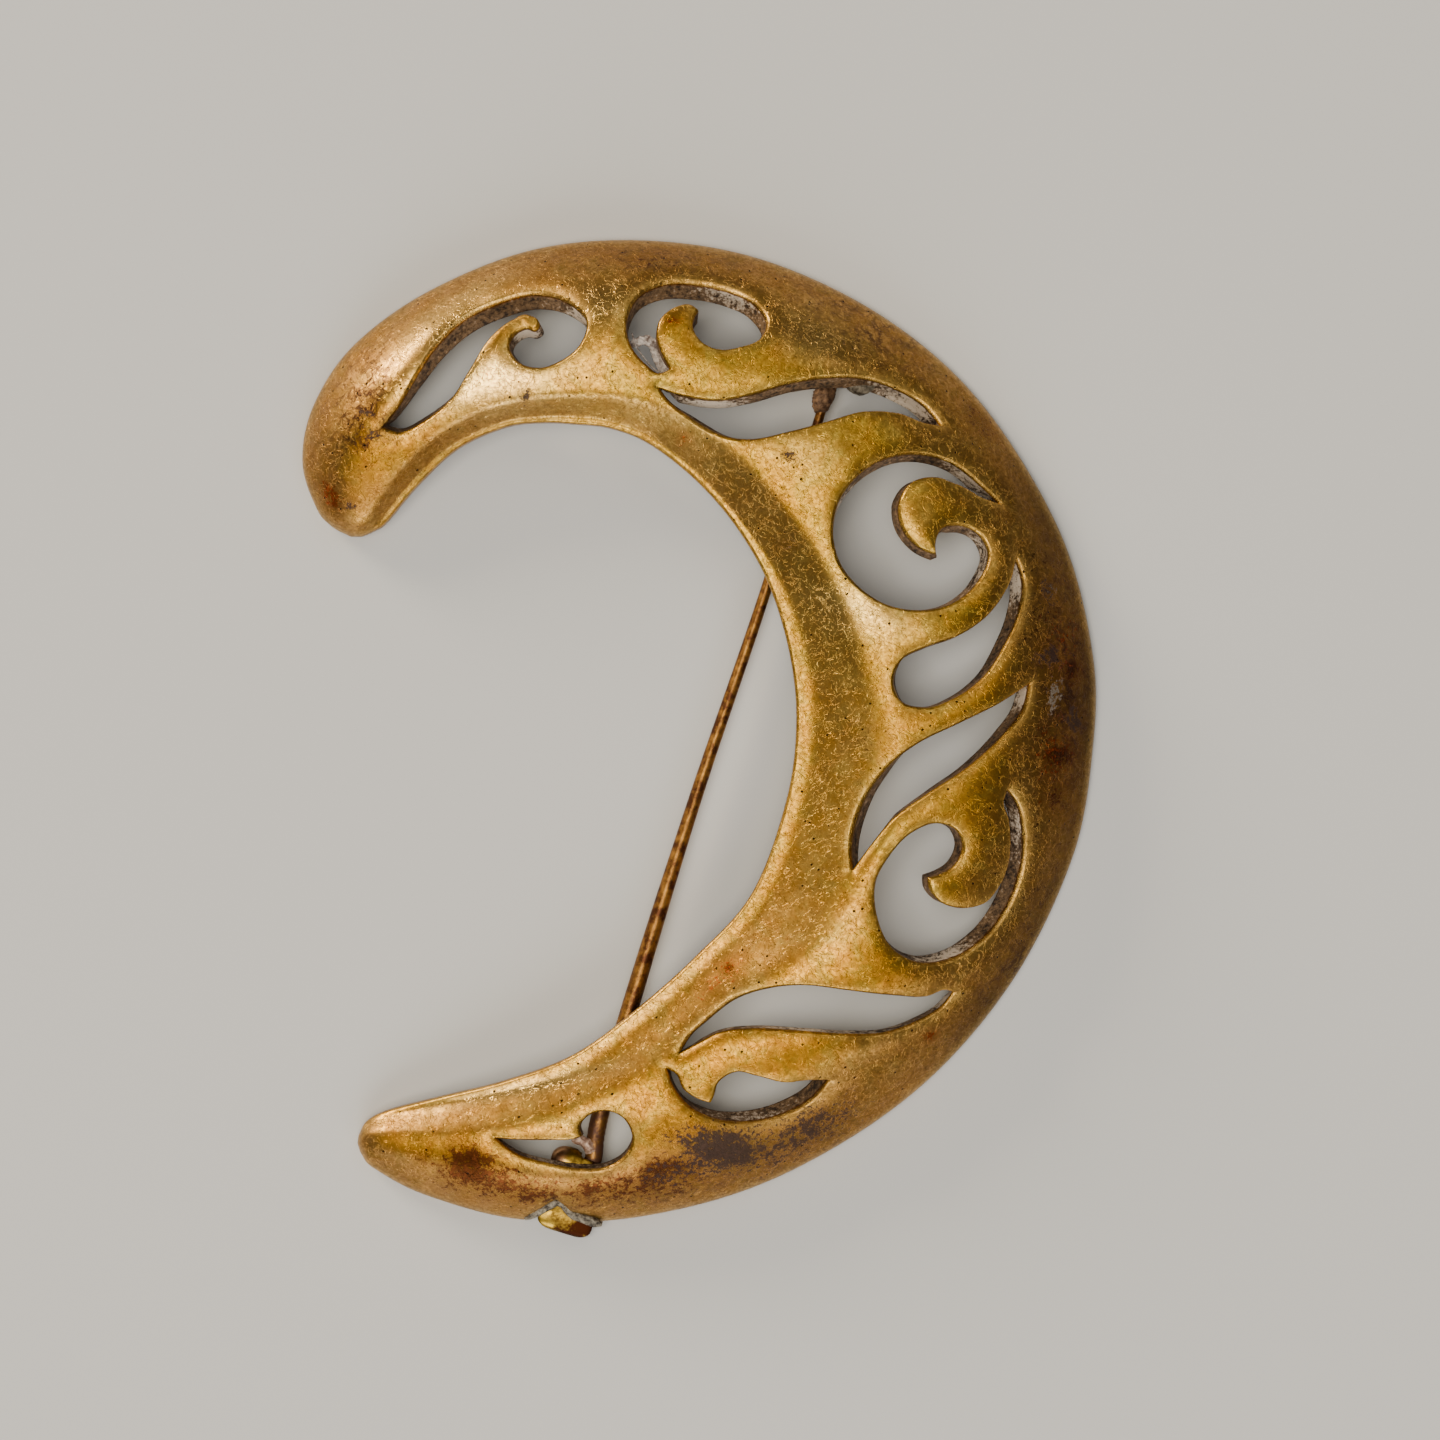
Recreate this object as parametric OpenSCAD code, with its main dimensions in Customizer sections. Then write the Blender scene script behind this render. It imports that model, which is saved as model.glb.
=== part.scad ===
// Moon brooch: a domed crescent of cast brass, pierced with ten scroll and leaf
// openings. A round pin is hinged at its lower horn and held by a C-shaped catch at
// its top. It lies face up, with its rim on z = 0. Millimetres, with +X to the right
// and +Y up as the face is seen, and +Z towards the viewer.

/* [Crescent] */
// Thickness of the cast wall
wall = 1.8; // [1.2:0.1:2.2]
// Height of the upright edge of the outer rim
rim_h = 1; // [0.6:0.1:1.4]
// Place of the crest, as a share of the way from the inner edge to the outer one
crest_at = 0.37; // [0.3:0.01:0.45]

/* [Pin] */
// Diameter of the bent end that turns in the knuckle
axle_d = 1; // [0.8:0.05:1.1]
// Radial play of the bent end in the knuckle
play = 0.05; // [0.02:0.01:0.08]
// Height of the hinge's axis above the surface that the rim rests on
hinge_z = 1.8; // [1.7:0.05:2]

/* [Hinge and catch] */
// Length of the rolled knuckle
knuckle_l = 1.9; // [1.4:0.1:1.9]
// Thickness of the sheet that the knuckle and the hinge plate are made of
sheet_t = 0.4; // [0.35:0.05:0.5]
// Width of the catch, along the pin
catch_w = 1.6; // [1:0.1:2.4]

/* [Hidden] */
$fn = 32;

// Each row is one section across the crescent, from the upper horn's tip round to the
// lower one's: a point of the inner edge, one of the outer edge, the height of the
// crest between them, and the height of the inner edge
SECTIONS = [
    // in_x  in_y   out_x  out_y  crest inner
    [-23.8,  14.3, -24.6,  14.3,  1.3, 1.2],
    [-22.9,  14.7, -25.9,  15.0,  2.1, 1.6],
    [-22.0,  15.3, -27.0,  16.3,  2.9, 2.0],
    [-19.8,  17.8, -28.0,  19.6,  4.2, 3.0],
    [-16.9,  20.4, -27.2,  23.6,  5.2, 3.8],
    [-13.5,  21.9, -24.3,  27.9,  6.0, 4.3],
    [-10.9,  22.2, -18.8,  31.8,  6.4, 4.5],
    [ -8.6,  22.1, -11.2,  34.7,  6.6, 4.6],
    [ -6.1,  21.8,  -2.8,  35.2,  6.8, 4.6],
    [ -3.4,  20.7,   5.4,  33.6,  6.9, 4.6],
    [ -0.2,  18.2,  13.6,  29.5,  7.0, 4.7],
    [  2.6,  15.0,  20.2,  23.5,  7.2, 4.7],
    [  4.9,  11.0,  25.6,  14.6,  7.2, 4.7],
    [  6.4,   6.1,  27.9,   6.0,  7.2, 4.7],
    [  6.9,   1.2,  27.9,  -0.8,  7.2, 4.7],
    [  6.2,  -4.3,  26.4,  -8.6,  7.2, 4.7],
    [  3.8, -10.8,  21.9, -17.6,  7.1, 4.7],
    [ -0.1, -15.2,  14.9, -25.3,  6.7, 4.6],
    [ -4.6, -19.2,   5.4, -31.1,  6.2, 4.6],
    [ -8.8, -22.2,  -4.1, -33.8,  5.7, 4.5],
    [-13.5, -24.0, -12.5, -34.0,  5.0, 3.9],
    [-18.1, -25.2, -19.2, -32.3,  3.8, 2.9],
    [-21.8, -26.2, -22.9, -30.4,  2.7, 2.0],
    [-23.4, -27.0, -23.8, -29.4,  1.9, 1.4],
    [-24.0, -28.0, -24.1, -28.6,  1.2, 1.1]
];
OUT = 2;
CREST = 4;
INNER = 5;
CELLS = 3; // sections made between two rows
ACROSS = [0, 0.07, 0.16, 0.27, 0.37, 0.48, 0.59, 0.7, 0.8, 0.88, 0.94, 1];
INNER_POWER = 2.2; // a higher power makes the flank fuller
OUTER_POWER = 2.4;

// Each opening is a closed outline: x, y, and 1 where it has a sharp corner
HORN_SCROLL = [
    [-22.1, 21.8, 1], [-21.1, 23.1, 0], [-20.0, 25.1, 0], [-18.3, 27.9, 0],
    [-16.3, 29.8, 0], [-13.9, 30.9, 0], [-11.3, 31.4, 0], [ -9.1, 30.7, 0],
    [ -7.8, 29.2, 0], [ -8.3, 27.5, 0], [ -9.6, 26.4, 0], [-11.1, 25.9, 0],
    [-12.5, 26.3, 0], [-13.2, 27.6, 0], [-12.7, 28.5, 0], [-12.0, 28.8, 0],
    [-11.4, 28.6, 0], [-11.1, 28.9, 0], [-11.2, 29.4, 0], [-12.0, 29.8, 0],
    [-13.2, 29.3, 0], [-14.6, 28.1, 0],
    [-16.0, 25.8, 0], [-17.3, 23.7, 0], [-19.1, 22.2, 0], [-21.0, 21.4, 0]
];
ARCH_SCROLL = [
    [ -5.0, 28.6, 0], [ -4.8, 29.9, 0], [ -4.1, 31.2, 0], [ -2.5, 32.1, 0],
    [ -0.2, 32.2, 0], [  2.2, 31.7, 0], [  4.1, 30.7, 0], [  4.9, 29.3, 0],
    [  4.4, 28.1, 0], [  3.1, 27.5, 0], [  1.3, 27.3, 0], [  0.2, 27.9, 0],
    [ -0.3, 28.8, 0], [ -0.1, 29.8, 0], [  0.1, 30.1, 1], [ -0.5, 30.5, 0],
    [ -1.6, 30.3, 0], [ -2.7, 29.3, 0], [ -2.9, 28.1, 0], [ -2.6, 27.0, 0],
    [ -2.0, 25.8, 1], [ -2.7, 25.5, 0], [ -3.7, 26.2, 0], [ -4.6, 27.3, 0]
];
UPPER_WAVE = [
    [ -2.7, 24.4, 1], [ -1.1, 23.9, 0], [  1.3, 23.6, 0], [  3.6, 24.0, 0],
    [  6.4, 24.9, 0], [  9.2, 25.4, 0], [ 11.8, 25.4, 0], [ 14.1, 24.7, 0],
    [ 16.1, 23.5, 0], [ 17.2, 22.1, 1], [ 15.8, 22.3, 0], [ 14.1, 22.9, 0],
    [ 11.8, 23.0, 0], [  9.0, 22.2, 0], [  6.1, 21.4, 0], [  3.6, 20.9, 0],
    [  1.1, 21.3, 0], [ -0.9, 22.5, 0], [ -2.2, 23.7, 0]
];
BIG_SCROLL = [
    [ 21.4, 16.6, 1], [ 20.0, 17.9, 0], [ 18.0, 19.4, 0], [ 15.4, 20.0, 0],
    [ 13.1, 19.6, 0], [ 11.2, 18.4, 0], [  9.8, 16.5, 0], [  9.4, 14.2, 0],
    [  9.9, 12.2, 0], [ 11.3, 10.5, 0], [ 13.1,  9.4, 0], [ 15.2,  9.0, 0],
    [ 17.6,  9.4, 0], [ 19.6, 10.9, 0], [ 20.5, 13.0, 0], [ 19.7, 14.5, 0],
    [ 18.3, 15.0, 0], [ 17.1, 14.7, 0], [ 16.7, 13.9, 0], [ 16.7, 12.9, 1],
    [ 15.3, 13.5, 0], [ 14.2, 14.9, 0], [ 14.1, 16.6, 0], [ 14.9, 17.9, 0],
    [ 16.5, 18.4, 0], [ 18.3, 17.9, 0], [ 20.1, 17.0, 0]
];
BROAD_LEAF = [
    [ 22.5, 12.7, 1], [ 23.0, 11.3, 0], [ 22.7,  9.0, 0], [ 21.6,  6.6, 0],
    [ 20.1,  4.4, 0], [ 18.0,  2.9, 0], [ 15.7,  2.2, 0], [ 14.1,  2.7, 0],
    [ 13.6,  3.9, 0], [ 14.2,  5.5, 0], [ 15.9,  6.4, 0], [ 18.2,  7.2, 0],
    [ 20.3,  8.6, 0], [ 21.8, 10.6, 0]
];
LONG_LEAF = [
    [ 23.4,  3.9, 1], [ 23.0,  2.2, 0], [ 21.6,  0.4, 0], [ 19.0, -1.9, 0],
    [ 16.0, -3.8, 0], [ 13.5, -5.6, 0], [ 11.9, -7.4, 0], [ 10.7, -9.0, 1],
    [ 10.6, -7.1, 0], [ 11.2, -4.8, 0], [ 12.9, -2.2, 0], [ 15.2, -0.4, 0],
    [ 18.3,  1.1, 0], [ 21.2,  2.5, 0]
];
SPIRAL = [
    [ 21.8, -3.6, 1], [ 22.5, -4.5, 0], [ 23.0, -6.4, 0], [ 23.0, -8.6, 0],
    [ 22.1,-11.6, 0], [ 20.4,-14.0, 0], [ 18.0,-15.5, 0], [ 15.5,-15.7, 0],
    [ 13.6,-14.6, 0], [ 12.5,-12.3, 0], [ 12.4,-10.0, 0], [ 13.4, -8.1, 0],
    [ 15.0, -6.5, 0], [ 16.8, -5.9, 0], [ 18.1, -6.4, 0], [ 18.6, -7.6, 0],
    [ 18.0, -8.9, 0], [ 16.9, -9.5, 0], [ 16.1, -9.7, 1], [ 16.2,-10.4, 0],
    [ 17.0,-11.4, 0], [ 18.7,-11.9, 0], [ 20.3,-11.5, 0], [ 21.4,-10.1, 0],
    [ 22.0, -8.0, 0], [ 21.9, -5.7, 0], [ 21.5, -4.3, 0]
];
LOWER_WAVE = [
    [ -1.3,-21.8, 1], [ -0.6,-20.6, 0], [  0.6,-19.5, 0], [  2.6,-18.0, 0],
    [  5.0,-17.3, 0], [  7.5,-17.2, 0], [ 10.6,-17.6, 0], [ 13.8,-18.0, 0],
    [ 16.2,-18.1, 0], [ 17.4,-17.7, 0], [ 18.1,-17.9, 1], [ 17.4,-18.8, 0],
    [ 15.4,-20.0, 0], [ 13.1,-20.7, 0], [ 10.3,-20.7, 0], [  7.1,-20.4, 0],
    [  4.0,-20.2, 0], [  1.5,-20.4, 0], [ -0.2,-21.2, 0]
];
COMMA = [
    [ -2.2,-23.0, 1], [ -1.5,-23.5, 0], [ -1.1,-24.4, 0], [ -0.2,-25.1, 0],
    [  0.9,-25.5, 1], [  1.1,-25.1, 0], [  1.4,-24.1, 0], [  2.7,-23.3, 0],
    [  4.1,-23.6, 0], [  6.1,-24.1, 0], [  7.8,-24.0, 0], [  9.2,-24.0, 1],
    [  8.2,-25.3, 0], [  6.1,-26.5, 0], [  3.6,-27.0, 0], [  1.2,-26.7, 0],
    [ -0.7,-25.6, 0], [ -1.8,-24.1, 0]
];
HINGE_SCROLL = [
    [-14.2,-28.0, 1], [-12.5,-28.1, 0], [-10.4,-28.1, 0], [ -8.6,-28.0, 0],
    [ -8.1,-27.8, 1], [ -8.3,-27.2, 0], [ -7.8,-26.4, 0], [ -6.7,-26.0, 0],
    [ -5.3,-26.5, 0], [ -4.6,-28.1, 0], [ -5.1,-29.3, 0], [ -6.5,-30.2, 0],
    [ -8.3,-30.3, 0], [-10.4,-29.9, 0], [-12.8,-29.1, 0]
];
OPENINGS = [HORN_SCROLL, ARCH_SCROLL, UPPER_WAVE, BIG_SCROLL, BROAD_LEAF,
    LONG_LEAF, SPIRAL, LOWER_WAVE, COMMA, HINGE_SCROLL];
CORNER = 2;
OUTLINE_CELLS = 3; // straight pieces between two points of an outline
CUT_H = 10; // taller than the dome

// The hinge's frame: its origin is under the bend of the pin, +X runs along the axis
// to the right, and +Y along the pin to its point
hinge_at = [-7.6, -30.3];
pin_turn = -17;
knuckle_left = -2.7;
knuckle_r = axle_d / 2 + play + sheet_t;
axle_end_l = 0.25; // part of the bent end that stands out of the knuckle

// Pin, in the hinge's frame. Its bend has the radius bend_r along its middle, and
// each row after it is a place on the straight part: x, y, z and radius.
pin_r = 0.62;
bend_r = 0.75;
BEND_CELLS = 5;
PIN_SIDES = 16;
STEM = [
    [-0.45,  3.9, hinge_z, pin_r],
    [-0.65, 12.6, 1.80, pin_r],
    [-0.55, 27.3, 1.65, 0.47],
    [-0.10, 41.9, 1.50, 0.40],
    [-0.05, 55.3, 1.35, 0.34],
    [-0.03, 59.9, 1.30, 0.20],
    [-0.03, 60.7, 1.30, 0.05]
];

// Hinge plate, in the hinge's frame
plate_left = -2.6;
plate_right = 1.35;
plate_back = -4.9;
plate_front = -1.15;
bend_room_r = 0.95; // hollow that the pin's bend turns in
bend_room_l = 1.9;

// Catch: its ring's centre, in the hinge's frame, and its two radii
catch_at = [-0.04, 59.1, 1.3];
catch_in_r = 0.62;
catch_out_r = 1;
catch_stem_h = 2.9;
// Round foot of the catch, soldered to the back, in the crescent's frame
foot_at = [11.3, 25.4, 2.6];
foot_r = 1.35;
foot_h = 1.2;

// Ragged notch that the hinge plate shows in
NOTCH = [[-12.6, -35], [-12.1, -33.8], [-11, -33.1], [-9.9, -32.4], [-8.6, -33.3],
    [-7.4, -34], [-7, -35]];

// Point between b and c, by the even cubic through four values
function through(a, b, c, d, u) =
    (2 * b + (c - a) * u + (2 * a - 5 * b + 4 * c - d) * u * u
        + (3 * b - a - 3 * c + d) * u * u * u) / 2;

// Section number s, whole or between two rows
function section(s) =
    let (last = len(SECTIONS) - 1, i = min(floor(s), last - 1),
        b = SECTIONS[i], c = SECTIONS[i + 1],
        a = i > 0 ? SECTIONS[i - 1] : 2 * b - c,
        d = i < last - 1 ? SECTIONS[i + 2] : 2 * c - b)
    through(a, b, c, d, s - i);

// Share of the way from the crest to the edge, and the power of that flank
function flank(t) = t < crest_at
    ? [(crest_at - t) / crest_at, INNER_POWER]
    : [(t - crest_at) / (1 - crest_at), OUTER_POWER];

function edge_z(row, t) = t < crest_at ? row[INNER] : rim_h;

function top_z(row, t) =
    let (f = flank(t), edge = edge_z(row, t))
    edge + (row[CREST] - edge) * (1 - pow(f[0], f[1]));

// Steepness of the face across the crescent
function slope(row, t) =
    let (f = flank(t), part = t < crest_at ? crest_at : 1 - crest_at,
        width = norm([row[OUT] - row[0], row[OUT + 1] - row[1]]))
    f[1] * (row[CREST] - edge_z(row, t)) * pow(f[0], f[1] - 1) / (part * width);

// The back follows the face at the wall's thickness, and is flat where it meets z = 0
function under_z(row, t) =
    max(0, top_z(row, t) - wall * sqrt(1 + pow(slope(row, t), 2)));

function across_xy(row, t) =
    [row[0] + (row[OUT] - row[0]) * t, row[1] + (row[OUT + 1] - row[1]) * t];

// Points round one section: along the face to the rim, and back along the underside
function ring(row) = concat(
    [for (t = ACROSS) concat(across_xy(row, t), top_z(row, t))],
    [for (i = [len(ACROSS) - 1 : -1 : 0])
        concat(across_xy(row, ACROSS[i]), under_z(row, ACROSS[i]))]);

module shell() {
    sections = (len(SECTIONS) - 1) * CELLS;
    around = 2 * len(ACROSS);
    points = [for (k = [0 : sections]) each ring(section(k / CELLS))];
    sides = [for (k = [0 : sections - 1], j = [0 : around - 1])
        let (a = k * around + j, b = k * around + (j + 1) % around)
        each [[a, b, a + around], [b, b + around, a + around]]];
    start = [for (j = [around - 1 : -1 : 0]) j];
    end = [for (j = [0 : around - 1]) sections * around + j];
    polyhedron(points, concat(sides, [start, end]), convexity = 10);
}

// Direction of a closed outline at point i, from its two neighbours
function heading(p, i) =
    let (n = len(p), a = p[(i + n - 1) % n], b = p[i], c = p[(i + 1) % n],
        before = norm([b[0] - a[0], b[1] - a[1]]),
        after = norm([c[0] - b[0], c[1] - b[1]]),
        d = (b - a) * after / before + (c - b) * before / after)
    [d[0], d[1]] / (before + after);

// Cubic pieces through the points of a closed outline, free to turn at its corners
function smooth(p) = [for (i = [0 : len(p) - 1])
    let (j = (i + 1) % len(p), a = [p[i][0], p[i][1]], b = [p[j][0], p[j][1]],
        length = norm(b - a), chord = (b - a) / length,
        sharp_a = p[i][CORNER] == 1, sharp_b = p[j][CORNER] == 1,
        from = sharp_a ? (sharp_b ? chord : 1.5 * chord - heading(p, j) / 2)
            : heading(p, i),
        to = sharp_b ? (sharp_a ? chord : 1.5 * chord - heading(p, i) / 2)
            : heading(p, j))
    for (k = [0 : OUTLINE_CELLS - 1])
    let (u = k / OUTLINE_CELLS)
    a * (2 * u * u * u - 3 * u * u + 1) + from * length * (u * u * u - 2 * u * u + u)
        + b * (3 * u * u - 2 * u * u * u) + to * length * (u * u * u - u * u)];

module through_cut(outline) {
    translate([0, 0, -1]) linear_extrude(CUT_H) polygon(outline);
}

module in_hinge_frame() {
    translate([hinge_at[0], hinge_at[1], 0]) rotate([0, 0, pin_turn]) children();
}

module along_axis(x, length, r) {
    translate([x, 0, hinge_z]) rotate([0, 90, 0]) cylinder(h = length, r = r);
}

// Cast shell with its openings, its notch and the hollow for the pin's bend. A resize
// by nothing keeps it one mesh.
module pierced_shell() {
    resize([0, 0, 0]) difference() {
        shell();
        for (outline = OPENINGS) through_cut(smooth(outline));
        through_cut(NOTCH);
        in_hinge_frame() {
            along_axis(knuckle_left + knuckle_l, bend_room_l, bend_room_r);
            along_axis(knuckle_left - 2 * axle_end_l, knuckle_l + 2 * axle_end_l,
                knuckle_r - sheet_t / 2);
        }
    }
}

// Strip of sheet, soldered into the notch, with its inner end rolled to a knuckle
module hinge_strip() {
    in_hinge_frame() difference() {
        union() {
            along_axis(knuckle_left, knuckle_l, knuckle_r);
            translate([knuckle_left, plate_front - 0.3, hinge_z - knuckle_r])
                cube([knuckle_l, 0.3 - plate_front, sheet_t]);
            translate([plate_left, plate_back, hinge_z - knuckle_r])
                cube([plate_right - plate_left, plate_front - plate_back, sheet_t]);
        }
        along_axis(knuckle_left - 1, knuckle_l + 2, axle_d / 2 + play);
    }
}

// C-shaped hook, open at its upper left, on a stem that reaches the back of the shell
module catch_hook() {
    in_hinge_frame() translate(catch_at)
    rotate([90, 0, 0]) translate([0, 0, -catch_w / 2]) linear_extrude(catch_w)
    union() {
        difference() {
            circle(catch_out_r);
            circle(catch_in_r);
            translate([-2 * catch_out_r, 0]) square(2 * catch_out_r);
        }
        translate([catch_in_r, 0]) square([catch_out_r - catch_in_r, catch_stem_h]);
    }
    translate(foot_at) cylinder(h = foot_h, r = foot_r);
}

module crescent() {
    color("goldenrod") union() {
        union() {
            pierced_shell();
            hinge_strip();
        }
        catch_hook();
    }
}

// Points round the pin at one row of STEM, where it heads turn degrees to the left
function pin_ring(row, turn) = [for (i = [0 : PIN_SIDES - 1])
    let (a = 360 * i / PIN_SIDES)
    [row[0] + row[3] * cos(a) * cos(turn), row[1] - row[3] * cos(a) * sin(turn),
        row[2] + row[3] * sin(a)]];

// Tapered pin. Its thick end bends to the left, and its bent end, the axle, turns in
// the knuckle.
module pin_stem() {
    rings = concat(
        [for (k = [0 : BEND_CELLS]) let (turn = 90 - 90 * k / BEND_CELLS)
            pin_ring([bend_r * (cos(turn) - 1), bend_r * (1 - sin(turn)),
                hinge_z, pin_r], turn)],
        [for (row = STEM) pin_ring(row, 0)]);
    n = PIN_SIDES;
    sides = [for (k = [0 : len(rings) - 2], i = [0 : n - 1])
        let (a = k * n + i, b = k * n + (i + 1) % n)
        each [[a, b, b + n], [a, b + n, a + n]]];
    start = [for (i = [n - 1 : -1 : 0]) i];
    end = [for (i = [0 : n - 1]) (len(rings) - 1) * n + i];
    color("saddlebrown") in_hinge_frame() union() {
        polyhedron([for (ring = rings) each ring], concat(sides, [start, end]));
        along_axis(knuckle_left - axle_end_l, -knuckle_left + axle_end_l - bend_r / 2,
            axle_d / 2);
    }
}

crescent();
pin_stem();
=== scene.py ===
"""Moon brooch: looks for the domed, pierced crescent of cast brass and its pin.

Lengths in the tables are millimetres in the part's own frame, and MM turns them to
metres where a mesh is made.
"""
from functools import partial

import bpy
import numpy as np
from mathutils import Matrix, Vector
from mathutils.geometry import delaunay_2d_cdt


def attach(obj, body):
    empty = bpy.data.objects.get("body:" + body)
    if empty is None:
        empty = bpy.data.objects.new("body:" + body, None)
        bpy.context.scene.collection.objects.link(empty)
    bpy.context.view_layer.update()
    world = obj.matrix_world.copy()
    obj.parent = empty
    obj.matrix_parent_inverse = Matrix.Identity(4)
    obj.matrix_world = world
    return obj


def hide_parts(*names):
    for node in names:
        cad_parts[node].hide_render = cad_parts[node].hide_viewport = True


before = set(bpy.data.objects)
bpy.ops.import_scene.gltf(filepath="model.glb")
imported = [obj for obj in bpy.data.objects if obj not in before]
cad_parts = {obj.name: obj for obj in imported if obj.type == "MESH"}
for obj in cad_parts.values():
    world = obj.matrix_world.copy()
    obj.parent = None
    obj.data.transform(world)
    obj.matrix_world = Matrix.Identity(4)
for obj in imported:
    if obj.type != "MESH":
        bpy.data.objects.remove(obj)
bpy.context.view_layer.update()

MM = 0.001

# Form of the crescent
# The real piece is one casting in brass, domed by hand in its wax, filed and rubbed.
# Its face is a row of sections from the upper horn's tip round to the lower one's.
SECTIONS = np.array([
    # in_x  in_y   out_x  out_y  crest inner flank lip
    [-23.8,  14.3, -24.6,  14.3,  1.3, 1.2, 0.5, 0.10],
    [-22.9,  14.7, -25.9,  15.0,  2.1, 1.6, 0.9, 0.20],
    [-22.0,  15.3, -27.0,  16.3,  2.9, 2.0, 1.1, 0.40],
    [-19.8,  17.8, -28.0,  19.6,  4.2, 3.0, 1.6, 0.50],
    [-16.9,  20.4, -27.2,  23.6,  5.2, 3.8, 1.8, 0.50],
    [-13.5,  21.9, -24.3,  27.9,  6.0, 4.3, 1.9, 0.50],
    [-10.9,  22.2, -18.8,  31.8,  6.4, 4.5, 1.9, 0.45],
    [ -8.6,  22.1, -11.2,  34.7,  6.6, 4.6, 1.9, 0.45],
    [ -6.1,  21.8,  -2.8,  35.2,  6.8, 4.6, 2.1, 0.40],
    [ -3.4,  20.7,   5.4,  33.6,  6.9, 4.6, 2.6, 0.40],
    [ -0.2,  18.2,  13.6,  29.5,  7.0, 4.7, 3.2, 0.40],
    [  2.6,  15.0,  20.2,  23.5,  7.2, 4.7, 3.4, 0.50],
    [  4.9,  11.0,  25.6,  14.6,  7.2, 4.7, 4.2, 0.80],
    [  6.4,   6.1,  27.9,   6.0,  7.2, 4.7, 5.0, 1.00],
    [  6.9,   1.2,  27.9,  -0.8,  7.2, 4.7, 5.5, 1.00],
    [  6.2,  -4.3,  26.4,  -8.6,  7.2, 4.7, 5.5, 1.00],
    [  3.8, -10.8,  21.9, -17.6,  7.1, 4.7, 5.2, 1.00],
    [ -0.1, -15.2,  14.9, -25.3,  6.7, 4.6, 4.6, 1.00],
    [ -4.6, -19.2,   5.4, -31.1,  6.2, 4.6, 3.9, 1.00],
    [ -8.8, -22.2,  -4.1, -33.8,  5.7, 4.5, 3.3, 1.00],
    [-13.5, -24.0, -12.5, -34.0,  5.0, 3.9, 3.0, 1.10],
    [-18.1, -25.2, -19.2, -32.3,  3.8, 2.9, 2.9, 1.10],
    [-21.8, -26.2, -22.9, -30.4,  2.7, 2.0, 1.6, 0.70],
    [-23.4, -27.0, -23.8, -29.4,  1.9, 1.4, 0.9, 0.40],
    [-24.0, -28.0, -24.1, -28.6,  1.2, 1.1, 0.4, 0.10]])
LAST = len(SECTIONS) - 1
CREST_AT = 0.37        # share of a section's way across where the crest is
RIM_H = 1.0            # height of the face at the outer rim
WALL = 1.8             # thickness of the metal
OUTER_POWER = 2.4      # of the fall from the crest to the rim
FLANK_SHARE, FLANK_TURN = 0.85, 0.05   # height share of the steep inner flank
LIP_TURN, WIDE_LIP_TURN, RISE_TURN = 0.004, 0.56, 0.04   # softness of the face's turns
HALVINGS = 22          # steps that find the section of a point

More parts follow.
